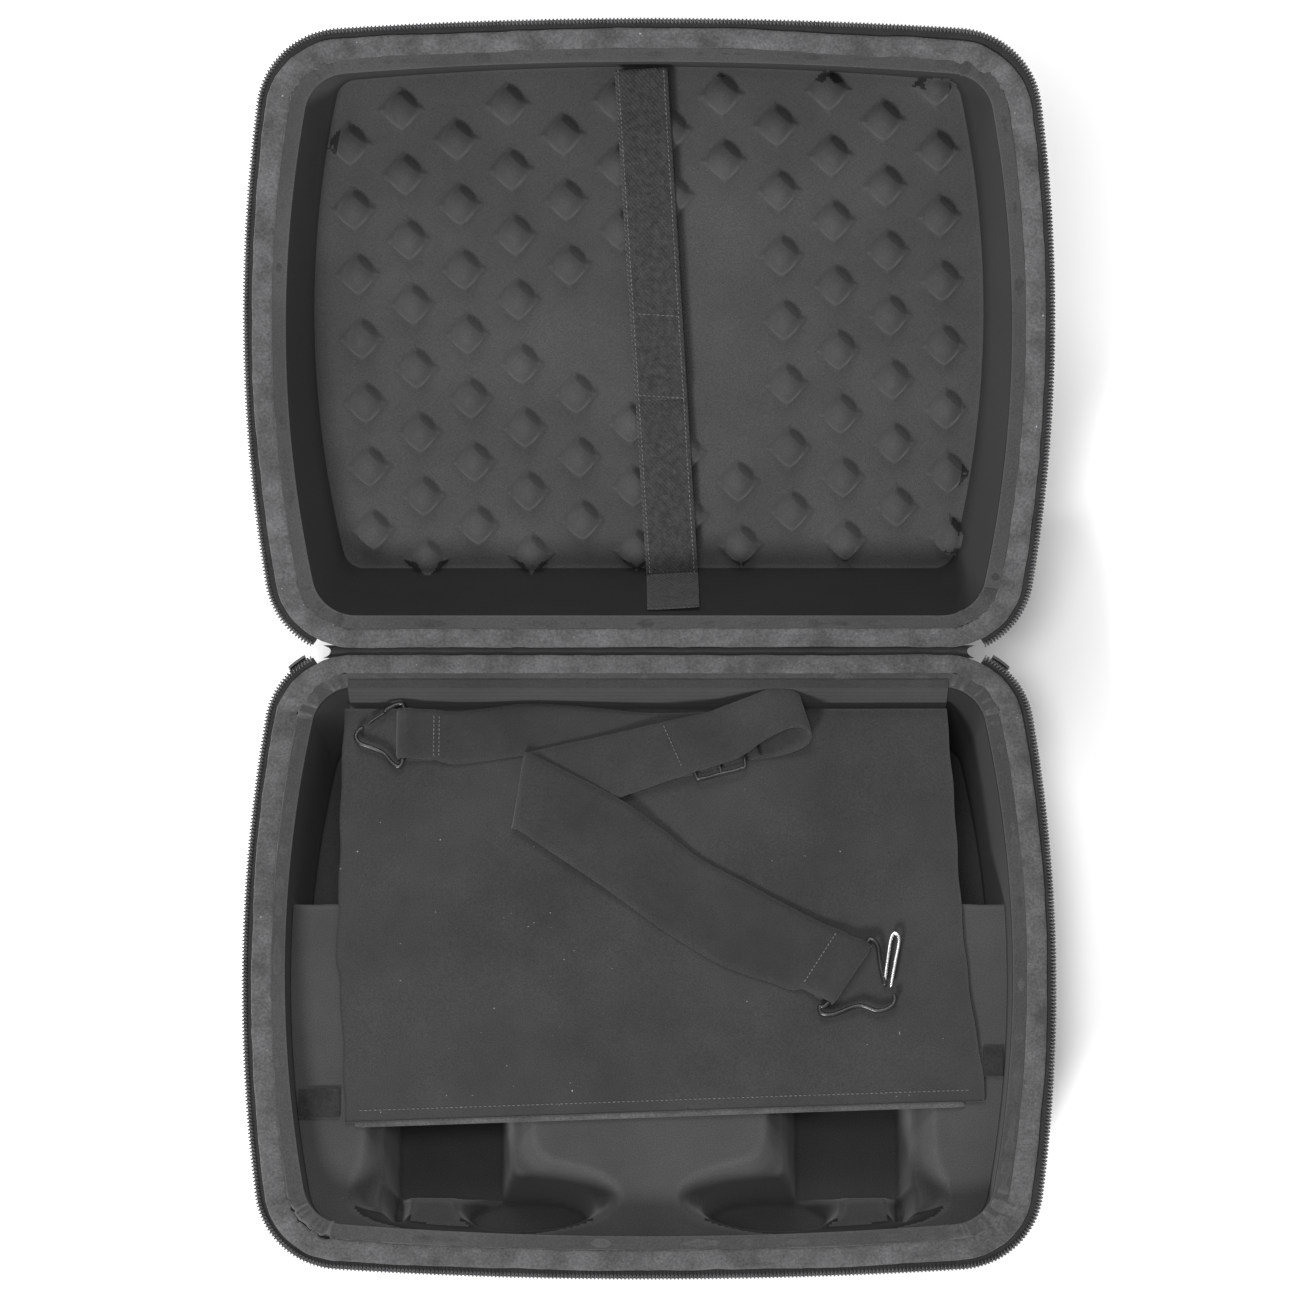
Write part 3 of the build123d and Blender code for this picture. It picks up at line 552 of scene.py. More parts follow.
def base_height(x, y, inset):
    """Depth of the base liner below the rim plane."""
    forward = HINGE_Y - y
    well = rounded_box(x, forward, 0, 20, 250, WELL_FRONT - 20, 6)
    floor = TRAY_DEPTH + (WELL_DEPTH - TRAY_DEPTH) * fall(well, 0.5, 1.5, 1.5)
    for side in (-1, 1):
        neck = rounded_box(x, forward, side * NECK_X, (NECK_BACK + POCKET_FRONT) / 2, NECK_HALF,
                           (POCKET_FRONT - NECK_BACK) / 2, 9)
        outer = soft_min(neck, oval(x, forward, side * POCKET_X, POCKET_FRONT, *POCKET_RADII), 16)
        inner = rounded_box(x, forward, side * NECK_X, (NECK_BACK + LOBE_FRONT) / 2, NECK_HALF - 10,
                            (LOBE_FRONT - NECK_BACK - 12) / 2, 8)
        inner = soft_min(inner, oval(x, forward, side * LOBE_X, LOBE_FRONT, *LOBE_RADII), 6)
        inner = np.minimum(inner, oval(x, forward, side * SLOT_X, SLOT_FRONT, *SLOT_RADII))
        floor = floor + POCKET_STEP * fall(outer, 3.5, 3.2, 4.0)
        floor = floor + (POCKET_DEPTH - POCKET_STEP) * fall(inner, 2.5, 3.0, 4.0)
    wall = 1.0 + np.maximum(inset - WALL_START, 0) / BASE_WALL_SLOPE
    return np.where(inset < WALL_START, 1.0, soft_min(wall, floor, 5.0))


def stud_places():
    middle = (LONG_START + SHORT_START) / 2 - STUD_PITCH[1] * (LONG_COUNT - 1) / 2
    c, s = math.cos(STUD_SKEW), math.sin(STUD_SKEW)
    for column in range(STUD_COLUMNS):
        short = column % 2 == 0
        start, count = (SHORT_START, SHORT_COUNT) if short else (LONG_START, LONG_COUNT)
        for row in range(count):
            if row not in SMOOTH_PATCH.get(column, ()):
                x = (column - (STUD_COLUMNS - 1) / 2) * STUD_PITCH[0]
                forward = start - row * STUD_PITCH[1] - middle
                yield x * c - forward * s + STUD_SHIFT, forward * c + x * s + middle


def lid_height(x, y, inset):
    """Depth of the lid liner beyond the rim plane."""
    forward = HINGE_Y - y
    raised = np.zeros(len(x))
    c, s = math.cos(STUD_SKEW), math.sin(STUD_SKEW)
    for cx, cf in stud_places():
        near = np.hypot(x - cx, forward - cf) < STUD_NEAR
        dx, df = x[near] - cx, forward[near] - cf
        u, v = dx * c + df * s, df * c - dx * s
        edge = STUD_REACH - np.abs(u) - np.abs(v)
        step = STUD_STEP * np.clip(edge / STUD_SLOPE, 0, 1)
        round_in = np.clip(1 - (u / DOME_RADII[0])**2 - (v / DOME_RADII[1])**2, 0, 1)
        dome = DOME_HEIGHT * round_in**DOME_POWER * np.clip(edge / STUD_SLOPE, 0, 1)
        raised[near] = np.maximum(raised[near], step + dome)
    sag = 0.5 * np.sin(x / 61 + 1) * np.sin(forward / 47)
    floor = LID_FLOOR - raised + sag
    wall = 1.0 + np.maximum(inset - WALL_START, 0) / LID_WALL_SLOPE
    return np.where(inset < WALL_START, 1.0, soft_min(wall, floor, 14.0))


WALL_RINGS_BASE = [16.5, 18.5, 20.5, 22.5, 23.4, 23.9, 24.2, 24.5, 24.9, 25.3, 25.7, 26.1, 26.6, 27.2,
                   27.8, 28.4, 29.0, 29.6, 30.2, 30.8, 31.5, 32.4, 33.4, 34.6, 36.0, 38.0, 40.0]
WALL_RINGS_LID = [16.5, 18.5, 20.5, 22.5, 23.4, 23.9, 24.3, 24.8, 25.5, 26.3, 27.1, 28.0, 28.9, 29.8,
                  30.7, 31.6, 32.5, 33.4, 34.3, 35.2, 36.2, 37.2, 38.2, 39.2, 40.2, 41.2, 42.2]

base_liner = moulded("base_liner_cloth", WALL_RINGS_BASE, base_height, False, liner_cloth)
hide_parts("base_liner")
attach(base_liner, "base")
lid_liner = moulded("lid_liner_cloth", WALL_RINGS_LID, lid_height, True, liner_cloth,
                    380, 320)
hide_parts("lid_liner")
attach(lid_liner, "lid")


# Rim: bindings, inner lip, zip tape and teeth
def oval_profile(outer, inner, low, high, count):
    """A flattened ring profile between two insets and two heights."""
    angles = np.linspace(0, 2 * math.pi, count, endpoint=False)
    power = 0.7
    c, s = np.cos(angles), np.sin(angles)
    x = np.sign(c) * np.abs(c)**power
    z = np.sign(s) * np.abs(s)**power
    return np.column_stack([(outer + inner) / 2 + x * (inner - outer) / 2,
                            (low + high) / 2 + z * (high - low) / 2])


def binding_wobble(seed, lid):
    """Puckers in the corners and slow waves along the sides."""
    corner = corner_share()
    blurred = np.convolve(np.tile(corner, 3), np.ones(15) / 15, "same")
    smooth_corner = blurred[len(corner):2 * len(corner)]
    slow = waves(RIM_RUN, 70.0, seed)
    quick = waves(RIM_RUN, 9.0, seed + 1, 2)
    pucker = waves(RIM_RUN, 5.5, seed + 2, 2) * smooth_corner
    front = smooth(HINGE_Y - RIM_FRONT + 40, HINGE_Y - RIM_FRONT + 5, RIM_XY[:, 1])
    sag = front * (1.4 + 1.2 * slow) if lid else front * 0.3 * slow

    def wobble(inset):
        share = smooth(BINDING[0] - 1, BINDING[1], inset)
        shift_in = 0.35 * quick + 0.5 * slow + sag + 1.5 * pucker * share
        shift_up = 0.3 * quick * share + 1.7 * pucker * (0.3 + 0.7 * share)
        return shift_in, -shift_up * 0.6
    return wobble


def coil(name, lid, body, node):
    """One half of the zip's nylon coil: flattened loops of wire at the tooth pitch."""
    keep = RIM_XY[:, 1] < HINGE_Y - ZIP_NECK
    xy, inward = RIM_XY[keep], RIM_IN[keep]
    run = np.concatenate([[0], np.cumsum(np.hypot(*np.diff(xy, axis=0).T))])
    teeth = int(run[-1] / TOOTH_PITCH)
    per_turn = 8
    t = np.arange(teeth * per_turn + 1) / per_turn
    s = t * TOOTH_PITCH
    angle = 2 * math.pi * t
    x = np.interp(s, run, xy[:, 0])
    y = np.interp(s, run, xy[:, 1])
    nx = np.interp(s, run, inward[:, 0])
    ny = np.interp(s, run, inward[:, 1])
    across = TOOTH_MIDDLE[0] - TOOTH_REACH[0] * np.cos(angle)
    up = TOOTH_MIDDLE[1] + TOOTH_REACH[1] * np.sin(angle)
    centre = np.column_stack([x + nx * across, y + ny * across, RIM_Z + (up if lid else -up)])
    tangent = np.gradient(centre, axis=0)
    tangent /= np.linalg.norm(tangent, axis=1)[:, None]
    side = np.cross(tangent, (0, 0, 1.0))
    side /= np.linalg.norm(side, axis=1)[:, None] + 1e-9
    lift = np.cross(side, tangent)
    sides = 5
    rings = []
    for k in range(sides):
        a = 2 * math.pi * k / sides
        rings.append(centre + TOOTH_WIRE * (math.cos(a) * side + math.sin(a) * lift))
    points = np.stack(rings, 1).reshape(-1, 3)
    if lid:
        points = opened(points)
    faces = grid_faces(len(centre), sides, wrap_columns=True)
    piece = mesh_piece(name, points, faces, tooth_plastic)
    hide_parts(node)
    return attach(piece, body)


for half, lid in (("base", False), ("lid", True)):
    seed = 40 if lid else 20
    binding = rim_band(f"{half}_binding_cloth", oval_profile(*BINDING, *BINDING_HEIGHTS, 18), lid,
                       binding_cloth, wobble=binding_wobble(seed, lid))
    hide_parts(f"{half}_binding")
    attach(binding, half)
    lip = rim_band(f"{half}_lip", oval_profile(*LIP, *LIP_HEIGHTS, 12), lid, lip_cloth,
                   wobble=binding_wobble(seed + 5, False))
    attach(lip, half)
    tape = rim_band(f"{half}_zip_tape_cloth", TAPE_PROFILE, lid, tape_cloth, neck=True)
    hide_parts(f"{half}_zip_tape")
    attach(tape, half)
    coil(f"{half}_zip_teeth", lid, half, f"{half}_zip_coil")


# Ribbons and tubes
def ribbon(name, stations, width, thick, material, lid=False, edge_round=0.5, cross=9):
    """A webbing run: stations are (centre, across, up) rows with unit vectors."""
    centre, across, up = (np.array(v, float) for v in stations)
    side_profile = np.linspace(-1, 1, cross)
    top = [(u * width / 2, thick / 2 * (1 - abs(u)**14 * edge_round)) for u in side_profile]
    low = [(u * width / 2, -thick / 2 * (1 - abs(u)**14 * edge_round)) for u in side_profile[::-1]]
    profile = np.array(top + low)
    points = (centre[:, None] + across[:, None] * profile[None, :, :1]
              + up[:, None] * profile[None, :, 1:])
    count, around = points.shape[:2]
    flat = points.reshape(-1, 3)
    if lid:
        flat = opened(flat)
    faces = grid_faces(count, around, wrap_columns=True)
    close_ends(faces, count, around)
    return mesh_piece(name, flat, faces, material)


def spline(points, step):
    """Catmull-Rom line through the points, sampled about every step."""
    p = np.array(points, float)
    p = np.vstack([2 * p[0] - p[1], p, 2 * p[-1] - p[-2]])
    out = []
    for a, b, c, d in zip(p[:-3], p[1:-2], p[2:-1], p[3:]):
        count = max(int(np.linalg.norm(c[:3] - b[:3]) / step), 2)
        t = np.linspace(0, 1, count, endpoint=False)[:, None]
        out.append(0.5 * (2 * b + (c - a) * t + (2 * a - 5 * b + 4 * c - d) * t**2
                          + (3 * b - a - 3 * c + d) * t**3))
    out.append(p[-2][None])
    return np.vstack(out)


def tube(name, points, radius, material, sides=12, step=0.8):
    """A round wire along a smooth line."""
    centre = spline(points, step)
    tangent = np.gradient(centre, axis=0)
    tangent /= np.linalg.norm(tangent, axis=1)[:, None]
    guide = np.array((0, 0, 1.0)) if abs(tangent[:, 2]).max() < 0.9 else np.array((0, 1.0, 0))
    side = np.cross(tangent, guide)
    side /= np.linalg.norm(side, axis=1)[:, None]
    lift = np.cross(side, tangent)
    angles = np.linspace(0, 2 * math.pi, sides, endpoint=False)
    radii = np.full(len(centre), radius)
    for k, share in ((0, 0.55), (1, 0.9)):
        radii[k] *= share
        radii[-1 - k] *= share
    points = (centre[:, None] + radii[:, None, None] * (np.cos(angles)[None, :, None] * side[:, None]
              + np.sin(angles)[None, :, None] * lift[:, None])).reshape(-1, 3)
    faces = grid_faces(len(centre), sides, wrap_columns=True)
    close_ends(faces, len(centre), sides)
    return mesh_piece(name, points, faces, material)


# Camera, light and floor
CAMERA_LENS, CAMERA_AT, CAMERA_TILT = 149.5, (0.0006, -0.7603, 2.9419), math.radians(18.2)
WORLD_STRENGTH = 0.50
# name, place, aim, size and power
LIGHTS = (("key", (-0.9, -2.3, 1.7), (0, 0.15, 0.1), 0.7, 120),
          ("over", (-0.2, -0.5, 2.6), (0, -0.1, 0.05), 0.8, 32),
          ("top", (-0.3, 1.6, 2.8), (0, 0.3, 0.1), 1.6, 45))
FLOOR_HALF = 6.0


def aim_camera():
    cam = bpy.data.objects.new("camera", bpy.data.cameras.new("camera"))
    bpy.context.scene.collection.objects.link(cam)
    cam.data.lens = CAMERA_LENS
    cam.data.sensor_width = 36.0
    cam.location = CAMERA_AT
    cam.rotation_euler = (CAMERA_TILT, 0, 0)
    bpy.context.scene.camera = cam


def area_light(name, place, aim, size, power):
    light = bpy.data.lights.new(name, "AREA")
    light.shape = "DISK"
    light.size = size
    light.energy = power
    lamp = bpy.data.objects.new(name, light)
    lamp.location = place
    lamp.rotation_euler = (Vector(aim) - Vector(place)).to_track_quat("-Z", "Y").to_euler()
    bpy.context.scene.collection.objects.link(lamp)


aim_camera()
world = bpy.data.worlds.new("studio")
bpy.context.scene.world = world
world.use_nodes = True
world.node_tree.nodes["Background"].inputs["Color"].default_value = (1, 1, 1, 1)
world.node_tree.nodes["Background"].inputs["Strength"].default_value = WORLD_STRENGTH
bpy.context.scene.view_settings.view_transform = "Standard"
for lamp_row in LIGHTS:
    area_light(*lamp_row)
floor_mesh = bpy.data.meshes.new("floor")
floor_corners = [(x * FLOOR_HALF, y * FLOOR_HALF, 0) for x, y in ((-1, -1), (1, -1), (1, 1), (-1, 1))]
floor_mesh.from_pydata(floor_corners, [], [(0, 1, 2, 3)])
floor = bpy.data.objects.new("floor", floor_mesh)
bpy.context.scene.collection.objects.link(floor)
floor_paint, nodes, links, shader = new_material("floor_paint")
shader.inputs["Base Color"].default_value = (0.92, 0.92, 0.92, 1)
shader.inputs["Roughness"].default_value = 0.9
floor_mesh.materials.append(floor_paint)


# Lid strap
def strap_middle(forward):
    return STRAP_X - (forward - STRAP_MIDDLE) * STRAP_LEAN


def lid_strap_stations(start, end, depth, seed):
    along = np.arange(0, abs(start - end) + 0.1, 1.5)
    forward = start + np.sign(end - start) * along
    x = strap_middle(forward)
    lift = 0.25 * waves(along, 26.0, seed)
    centre = np.column_stack([x, HINGE_Y - forward, RIM_Z + depth + lift])
    lean = math.atan(STRAP_LEAN)
    across = np.tile((math.cos(lean), -math.sin(lean), 0), (len(x), 1))
    up = np.tile((0, 0, -1.0), (len(x), 1))
    return centre, across, up


upper = ribbon("lid_strap_upper_web", lid_strap_stations(*UPPER_STRAP, UPPER_DEPTH, 3), STRAP_WIDTH,
               STRAP_THICK, twill_cloth, lid=True)
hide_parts("lid_strap_upper")
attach(upper, "upper_strap")
lower = ribbon("lid_strap_lower_web", lid_strap_stations(*LOWER_STRAP, LOWER_DEPTH, 4), STRAP_WIDTH,
               STRAP_THICK, twill_cloth, lid=True)
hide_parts("lid_strap_lower")
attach(lower, "lower_strap")

# The part of the lower lid strap that climbs the wall to its seam rides on the lid
ROOT_LINE = ((31.4, 48.0), (29.0, 41.0), (26.5, 28.0), (24.4, 15.0), (23.6, 5.5))
root = np.array(ROOT_LINE)
root_x = strap_middle(root[:, 0])
root_line = spline(np.column_stack([root_x, HINGE_Y - root[:, 0], RIM_Z + root[:, 1]]), 1.5)
root_run = np.gradient(root_line, axis=0)
root_run /= np.linalg.norm(root_run, axis=1)[:, None]
lean = math.atan(STRAP_LEAN)
root_across = np.tile((math.cos(lean), -math.sin(lean), 0), (len(root_line), 1))
root_stations = (root_line, root_across, np.cross(root_across, root_run))
root_web = ribbon("lid_strap_root", root_stations, STRAP_WIDTH, STRAP_THICK, twill_cloth,
                  lid=True)
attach(root_web, "lid")


# Stitching
STITCH_LENGTH, THREAD_RADIUS = 1.7, 0.26


def stitches(name, line, body, spacing=2.6, lid=False):
    """A row of thread stitches along a line of points."""
    line = np.array(line, float)
    steps = np.linalg.norm(np.diff(line, axis=0), axis=1)
    run = np.concatenate([[0], np.cumsum(steps)])
    points, faces = [], []
    for start in np.arange(0.4, run[-1] - STITCH_LENGTH, spacing):
        ends = [np.array([np.interp(start + k, run, line[:, c]) for c in range(3)])
                for k in (0, STITCH_LENGTH)]
        along = (ends[1] - ends[0]) / (np.linalg.norm(ends[1] - ends[0]) + 1e-9)
        side = np.cross(along, (0, 0, 1.0))
        side /= np.linalg.norm(side) + 1e-9
        lift = np.cross(side, along)
        first = len(points)
        for share, swell in ((0.0, 0.35), (0.25, 1.0), (0.75, 1.0), (1.0, 0.35)):
            centre = ends[0] + (ends[1] - ends[0]) * share
            for k in range(6):
                a = math.pi * k / 3
                spoke = math.cos(a) * side + math.sin(a) * lift
                points.append(centre + THREAD_RADIUS * swell * spoke)
        for ring in range(3):
            for k in range(6):
                a, b = first + ring * 6 + k, first + ring * 6 + (k + 1) % 6
                faces.append((a, b, b + 6, a + 6))
        faces.append(tuple(first + k for k in range(6))[::-1])
        faces.append(tuple(first + 18 + k for k in range(6)))
    points = np.array(points)
    if lid:
        points = opened(points)
    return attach(mesh_piece(name, points, faces, thread), body)


def lid_strap_line(start, end, depth, share):
    """A line along the lid strap, at a share of its half width from the middle."""
    forward = np.linspace(start, end, 60)
    x = strap_middle(forward) + share * STRAP_WIDTH / 2
    return np.column_stack([x, HINGE_Y - forward, np.full(60, RIM_Z + depth - STRAP_THICK / 2 - 0.1)])


def lid_strap_cross(forward, depth):
    middle = strap_middle(forward)
    reach = STRAP_WIDTH / 2 - 1.5
    line = [(middle - reach, HINGE_Y - forward - reach * STRAP_LEAN, RIM_Z + depth),
            (middle + reach, HINGE_Y - forward + reach * STRAP_LEAN, RIM_Z + depth)]
    return np.array(line) + np.array((0, 0, -STRAP_THICK / 2 - 0.1))


for share, side in ((-0.86, "left"), (0.86, "right")):
    for end, run, depth in (("upper", UPPER_STRAP, UPPER_DEPTH), ("lower", LOWER_STRAP, LOWER_DEPTH)):
        seam = lid_strap_line(*run, depth, share)
        stitches(f"lid_strap_{end}_seam_{side}", seam, f"{end}_strap", lid=True)
for place, end in ((134.5, "near"), (181.0, "far")):
    stitches(f"lid_strap_patch_seam_{end}", lid_strap_cross(place, UPPER_DEPTH), "upper_strap", lid=True)


# Divider flap: a limp sheet with a rolled front hem
FLAP_COLUMNS, FLAP_ROWS = 190, 130
HEM_RADIUS = 1.6


def edge_at(edge, share):
    """A point of a side edge, by its share of the way from the hinge line to the front."""
    edge = np.array(edge, float)
    forward = edge[0, 1] + (edge[-1, 1] - edge[0, 1]) * share
    return np.interp(forward, edge[:, 1], edge[:, 0]), forward


def flap_sag(x, forward):
    """How far the sheet lies below its highest level."""
    slow = np.sin(x / 47 + forward / 90 + 0.6) * np.sin(forward / 39 + 1.1)
    cross = np.sin((x + 1.6 * forward) / 23) * np.sin((forward - 0.4 * x) / 61)
    fine = np.sin(x / 9.5 + 2.0 * np.sin(forward / 31)) * np.sin(forward / 17)
    return 0.55 + 0.30 * slow + 0.16 * cross + 0.06 * fine


def flap_sheet():
    u = np.linspace(0, 1, FLAP_COLUMNS)
    v = np.linspace(0, 1, FLAP_ROWS)
    (left_x, left_f), (right_x, right_f) = edge_at(FLAP_LEFT, v), edge_at(FLAP_RIGHT, v)
    ripple = 0.35 * np.sin(v * 41) + 0.25 * np.sin(v * 17 + 1)
    x = (left_x + ripple)[:, None] * (1 - u) + (right_x + 0.8 * ripple[::-1])[:, None] * u
    forward = left_f[:, None] * (1 - u) + right_f[:, None] * u
    z = FLAP_Z - flap_sag(x, forward)
    top = np.stack([x, HINGE_Y - forward, z], 2).reshape(-1, 3)
    points, faces, border = thick_sheet(top, FLAP_ROWS, FLAP_COLUMNS, FLAP_THICK)
    plan_edge = top[border][:, :2]
    nxt = np.roll(plan_edge, -1, axis=0)
    area = abs((plan_edge[:, 0] * nxt[:, 1] - nxt[:, 0] * plan_edge[:, 1]).sum()) / 2
    return points, faces, top.reshape(FLAP_ROWS, FLAP_COLUMNS, 3), area


sheet_points, sheet_faces, sheet_top, sheet_area = flap_sheet()
flap = mesh_piece("flap_cloth_sheet", sheet_points, sheet_faces, flap_cloth)
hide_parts("flap_panel")
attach(flap, "flap")
front_edge = sheet_top[-1][3:-3]
hem_line = front_edge + np.array((0, -HEM_RADIUS * 0.7, -0.5))
hem = tube("flap_hem_roll", hem_line[::5], HEM_RADIUS, hem_cloth, sides=14, step=1.6)
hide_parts("flap_hem")
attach(hem, "flap")
hem_seam = stitches("flap_hem_seam", sheet_top[-1][4:-4] + np.array((0, 6.5, 0.15)), "flap")


# Shoulder strap: webbing runs given by their two edges
def web(name, stations, body, thick=1.5, material=strap_cloth, cross=13):
    """Rows of (x, forward) of one edge, (x, forward) of the other, and the height."""
    rows = [(ax, HINGE_Y - af, z, bx, HINGE_Y - bf, z) for ax, af, bx, bf, z in stations]
    line = spline(rows, 1.4)
    a, b = line[:, :3], line[:, 3:]
    tangent = np.gradient((a + b) / 2, axis=0)
    up = np.cross(b - a, tangent)
    up /= np.linalg.norm(up, axis=1)[:, None] + 1e-9
    if up[0, 2] < 0:
        up = -up
    share = np.linspace(0, 1, cross)
    swell = thick / 2 * (1 - np.abs(2 * share - 1)**14 * 0.6)
    middle = a[:, None] + (b - a)[:, None] * share[None, :, None]
    top = middle + up[:, None] * swell[None, :, None]
    low = (middle - up[:, None] * swell[None, :, None])[:, ::-1]
    points = np.concatenate([top, low], 1)
    count, around = points.shape[:2]
    faces = grid_faces(count, around, wrap_columns=True)
    close_ends(faces, count, around)
    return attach(mesh_piece(name, points.reshape(-1, 3), faces, material), body)


LEFT_BAR = ((-137.0, 29.5), (-137.0, 58.5))
RIGHT_BAR = ((120.0, 164.5), (98.2, 197.5))
LOW, LIFTED = FLAP_Z + 1.15, FLAP_Z + 3.0


def round_bar(bar, run, out):
    """Stations of an eye of webbing round a hook's bar; run points from the strap to the bar."""
    (ax, af), (bx, bf) = bar
    eye = ((-17, LIFTED - 0.2), (-9, LIFTED + 0.6), (-2.4, HOOK_Z + 2.3), (1.6, HOOK_Z + 1.6),
           (2.5, HOOK_Z), (1.6, HOOK_Z - 1.7), (-2.4, HOOK_Z - 2.45), (-9, LOW), (-17, LOW))
    rows = [(ax + run[0] * s, af + run[1] * s, bx + run[0] * s, bf + run[1] * s, z) for s, z in eye]
    return rows if out else rows[::-1]


left_eye = round_bar(LEFT_BAR, (-1.0, 0.0), False)
right_eye = round_bar(RIGHT_BAR, (0.836, 0.45), True)[:-1]
near_run = web("strap_run_near", left_eye + [
    (-108, 30.5, -108, 61, LIFTED - 0.9), (-92, 28.5, -92, 59, LOW), (-65, 25.5, -65, 55.5, LOW),
    (-30, 28, -30, 58.5, LOW), (0, 31, 0, 60, LOW), (36, 30, 38, 59.5, LOW),
    (62, 26.5, 67, 57, LOW + 0.4), (76, 23, 84, 53, LOW + 3.5), (82, 21, 90, 48.5, LOW + 8),
    (80, 20.5, 88, 45, LOW + 12.5),
    (70, 20.5, 79, 44, LOW + 14.5), (54, 26, 65, 50, LOW + 12.6), (42, 29.5, 54, 57, LOW + 8.6),
    (31, 33, 45, 61, LOW + 6.6), (10, 37.5, 22, 68, LOW + 5.6), (-20, 44, -8, 78, LOW + 3.0),
    (-48, 50, -44, 91, LOW + 2.2), (-67, 54.5, -73, 99, LOW + 2.2), (-68.6, 55, -74.8, 99.4, LOW + 3.2),
    (-66.5, 55.5, -72, 100, LOW + 4.2), (-48, 65, -52, 114, LOW + 4.1), (-16, 82, -27, 131, LOW + 3.2),
    (8, 99, -2, 149, LOW + 0.9), (28, 115, 12, 159, LOW), (54, 129.5, 40, 176, LOW),
    (78, 143, 66, 185.5, LOW), (96, 152.5, 78, 190, LOW + 0.5)] + right_eye, "strap")
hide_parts("strap_webbing")
web("strap_sewn_end", [(2, 40, 13, 70, LOW + 2.2), (20, 36, 31, 66, LOW + 2.3),
                       (52, 28, 62, 57, LOW + 2.3)], "strap", 1.3)


def cross_seam(name, start, end, z, spacing=2.4):
    line = np.linspace((start[0], HINGE_Y - start[1], z), (end[0], HINGE_Y - end[1], z), 12)
    return stitches(name, line, "strap", spacing)


cross_seam("strap_seam_left", (-119.5, 33), (-119.5, 58), LIFTED + 0.75)
cross_seam("strap_seam_left_second", (-116.5, 33), (-116.5, 58), LIFTED + 0.7)
cross_seam("strap_seam_end", (8, 40), (19, 66), LOW + 6.55)
cross_seam("strap_seam_right", (103, 158), (84.5, 187), LIFTED + 0.75)


# Hooks, gates and adjuster in smooth wire
def wire_piece(name, route, radius, material, body, node):
    points = [(x, HINGE_Y - forward, HOOK_Z) for x, forward in route]
    piece = tube(name, points, radius, material, sides=14, step=0.5)
    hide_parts(node)
    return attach(piece, body)


LEFT_FRAME = ((-147.5, 31), (-143, 28), (-138.5, 26.4), (-136.4, 29), (-137, 44), (-136.6, 58.5),
              (-138.4, 63), (-142.4, 61), (-147.5, 55.2), (-154.1, 52), (-160.4, 49.6), (-162.8, 45.6),
              (-161, 41.8), (-158.4, 40.4))
RIGHT_FRAME = ((129.4, 188.5), (127.6, 181), (126.3, 173), (125.4, 165.8), (122.2, 161.8),
               (119.4, 164.6), (109, 181), (97.4, 198.6), (93.4, 200.2), (94.6, 204), (101, 204.4),
               (114.6, 199.6), (124.5, 202.4), (131.5, 200.6), (134.4, 196.6), (133.8, 192.8))
LEFT_GATE = ((-146.6, 31.6), (-151, 34.4), (-156.6, 38.6))
RIGHT_GATE = ((128.6, 188.4), (130.5, 175), (132.6, 162.4), (134.9, 158.4), (137.2, 162.2), (134.9, 175),
              (132.2, 189.2))
wire_piece("hook_left_wire", LEFT_FRAME, WIRE, black_metal, "strap", "hook_frame_left")
wire_piece("hook_right_wire", RIGHT_FRAME, WIRE, black_metal, "strap", "hook_frame_right")
wire_piece("gate_left_wire", LEFT_GATE, 0.9, black_metal, "gate_left", "hook_gate_left")
wire_piece("gate_right_wire", RIGHT_GATE, 1.0, bright_metal, "gate_right",
           "hook_gate_right")

ADJUSTER_AT, ADJUSTER_HALF, ADJUSTER_Z = (35.7, 50.6), (14.3, 17.4), FLAP_Z + 5.3
LAY = math.radians(15.0)


def adjuster_point(along, across):
    x = ADJUSTER_AT[0] + along * math.cos(LAY) - across * math.sin(LAY)
    y = HINGE_Y - ADJUSTER_AT[1] + along * math.sin(LAY) + across * math.cos(LAY)
    return (x, y, ADJUSTER_Z)


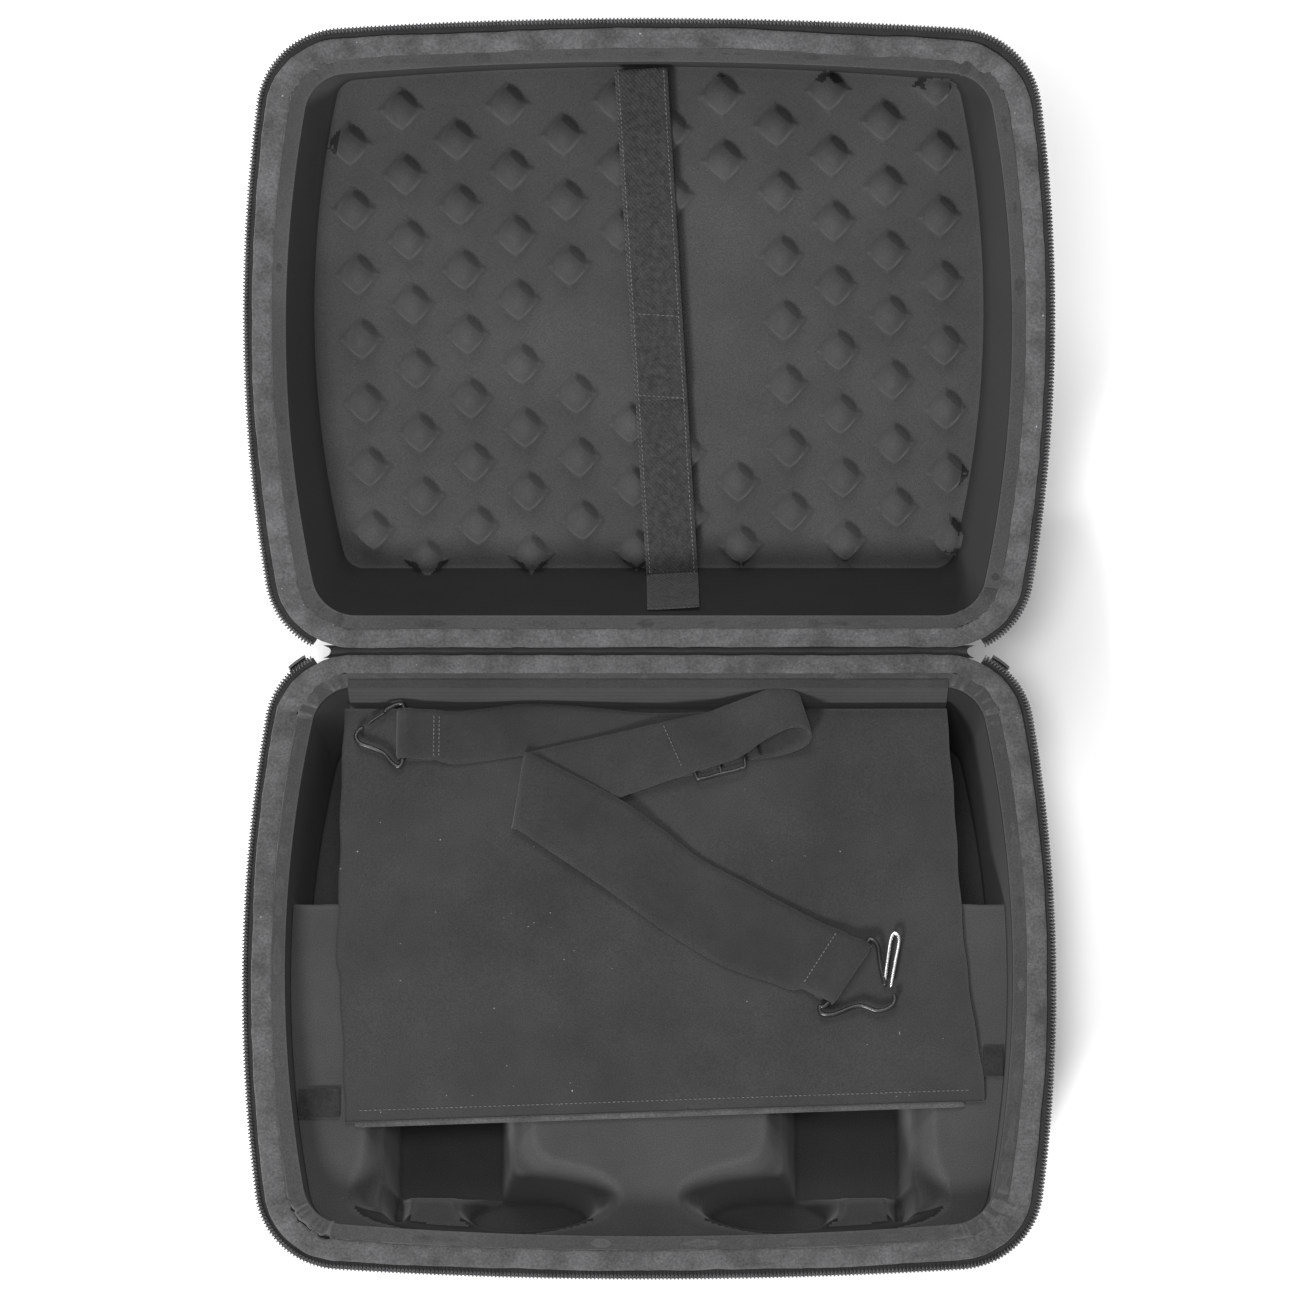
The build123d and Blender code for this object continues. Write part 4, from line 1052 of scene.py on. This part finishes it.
reach, half = ADJUSTER_HALF
corner = 3.5
frame_route = [(0, half), (reach - corner, half), (reach, half - corner), (reach, -half + corner),
               (reach - corner, -half), (0, -half), (corner - reach, -half), (-reach, corner - half),
               (-reach, half - corner), (corner - reach, half), (0, half)]
adjuster = tube("adjuster_frame", [adjuster_point(*p) for p in frame_route], 1.05, black_metal,
                step=0.7)
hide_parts("strap_slider")
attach(adjuster, "strap_slider")
bar_route = [adjuster_point(0, half), adjuster_point(0, 0), adjuster_point(0, -half)]
adjuster_bar = tube("adjuster_bar", bar_route, 1.0, black_metal, step=1.5)
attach(adjuster_bar, "strap_slider")


# Cloth spine that joins the halves behind the hinge line
SPINE_BEND = ((-1.9, -5.7), (-1.75, -4.3), (-0.7, -3.1), (1.0, -2.5), (2.7, -2.6), (4.0, -3.4),
              (4.9, -4.3))
SPINE_ROUND, SPINE_THICK = 4.0, 0.8


def spine_cloth():
    bend = spline([(0, HINGE_Y + y, RIM_Z + z) for y, z in SPINE_BEND], 0.5)
    rows, columns = len(bend), 160
    share = np.linspace(0, 1, rows)
    half_width = SPINE_HALF - SPINE_ROUND * np.sin(math.pi * share)
    x = np.linspace(-1, 1, columns)[None] * half_width[:, None]
    pucker = 0.12 * np.sin(x / 3.1) * np.sin(math.pi * share)[:, None]
    top = np.stack([x, np.repeat(bend[:, 1:2], columns, 1), bend[:, 2:3] + pucker], 2).reshape(-1, 3)
    points, faces, _ = thick_sheet(top, rows, columns, SPINE_THICK)
    return mesh_piece("spine_cloth_strip", points, faces, outer_cloth)


spine = spine_cloth()
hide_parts("hinge_spine")
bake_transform(spine)

# Finishes of the CAD nodes that stay
finishes = {
    "base_shell": outer_cloth, "lid_shell": outer_cloth, "flap_anchor": flap_cloth,
    "handle_brackets": plastic, "carry_handle": rubber, "tab_left": fuzzy_tape,
    "tab_right": fuzzy_tape, "zip_slider_left": black_metal, "zip_slider_right": black_metal,
    "pull_tab_left": rubber, "pull_tab_right": rubber, "strap_ring_left": black_metal,
    "strap_ring_right": black_metal, "ring_tab_left": strap_cloth, "ring_tab_right": strap_cloth,
    "hook_patch": fuzzy_tape,
}
for node, material in finishes.items():
    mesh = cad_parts[node].data
    mesh.materials.clear()
    mesh.materials.append(material)
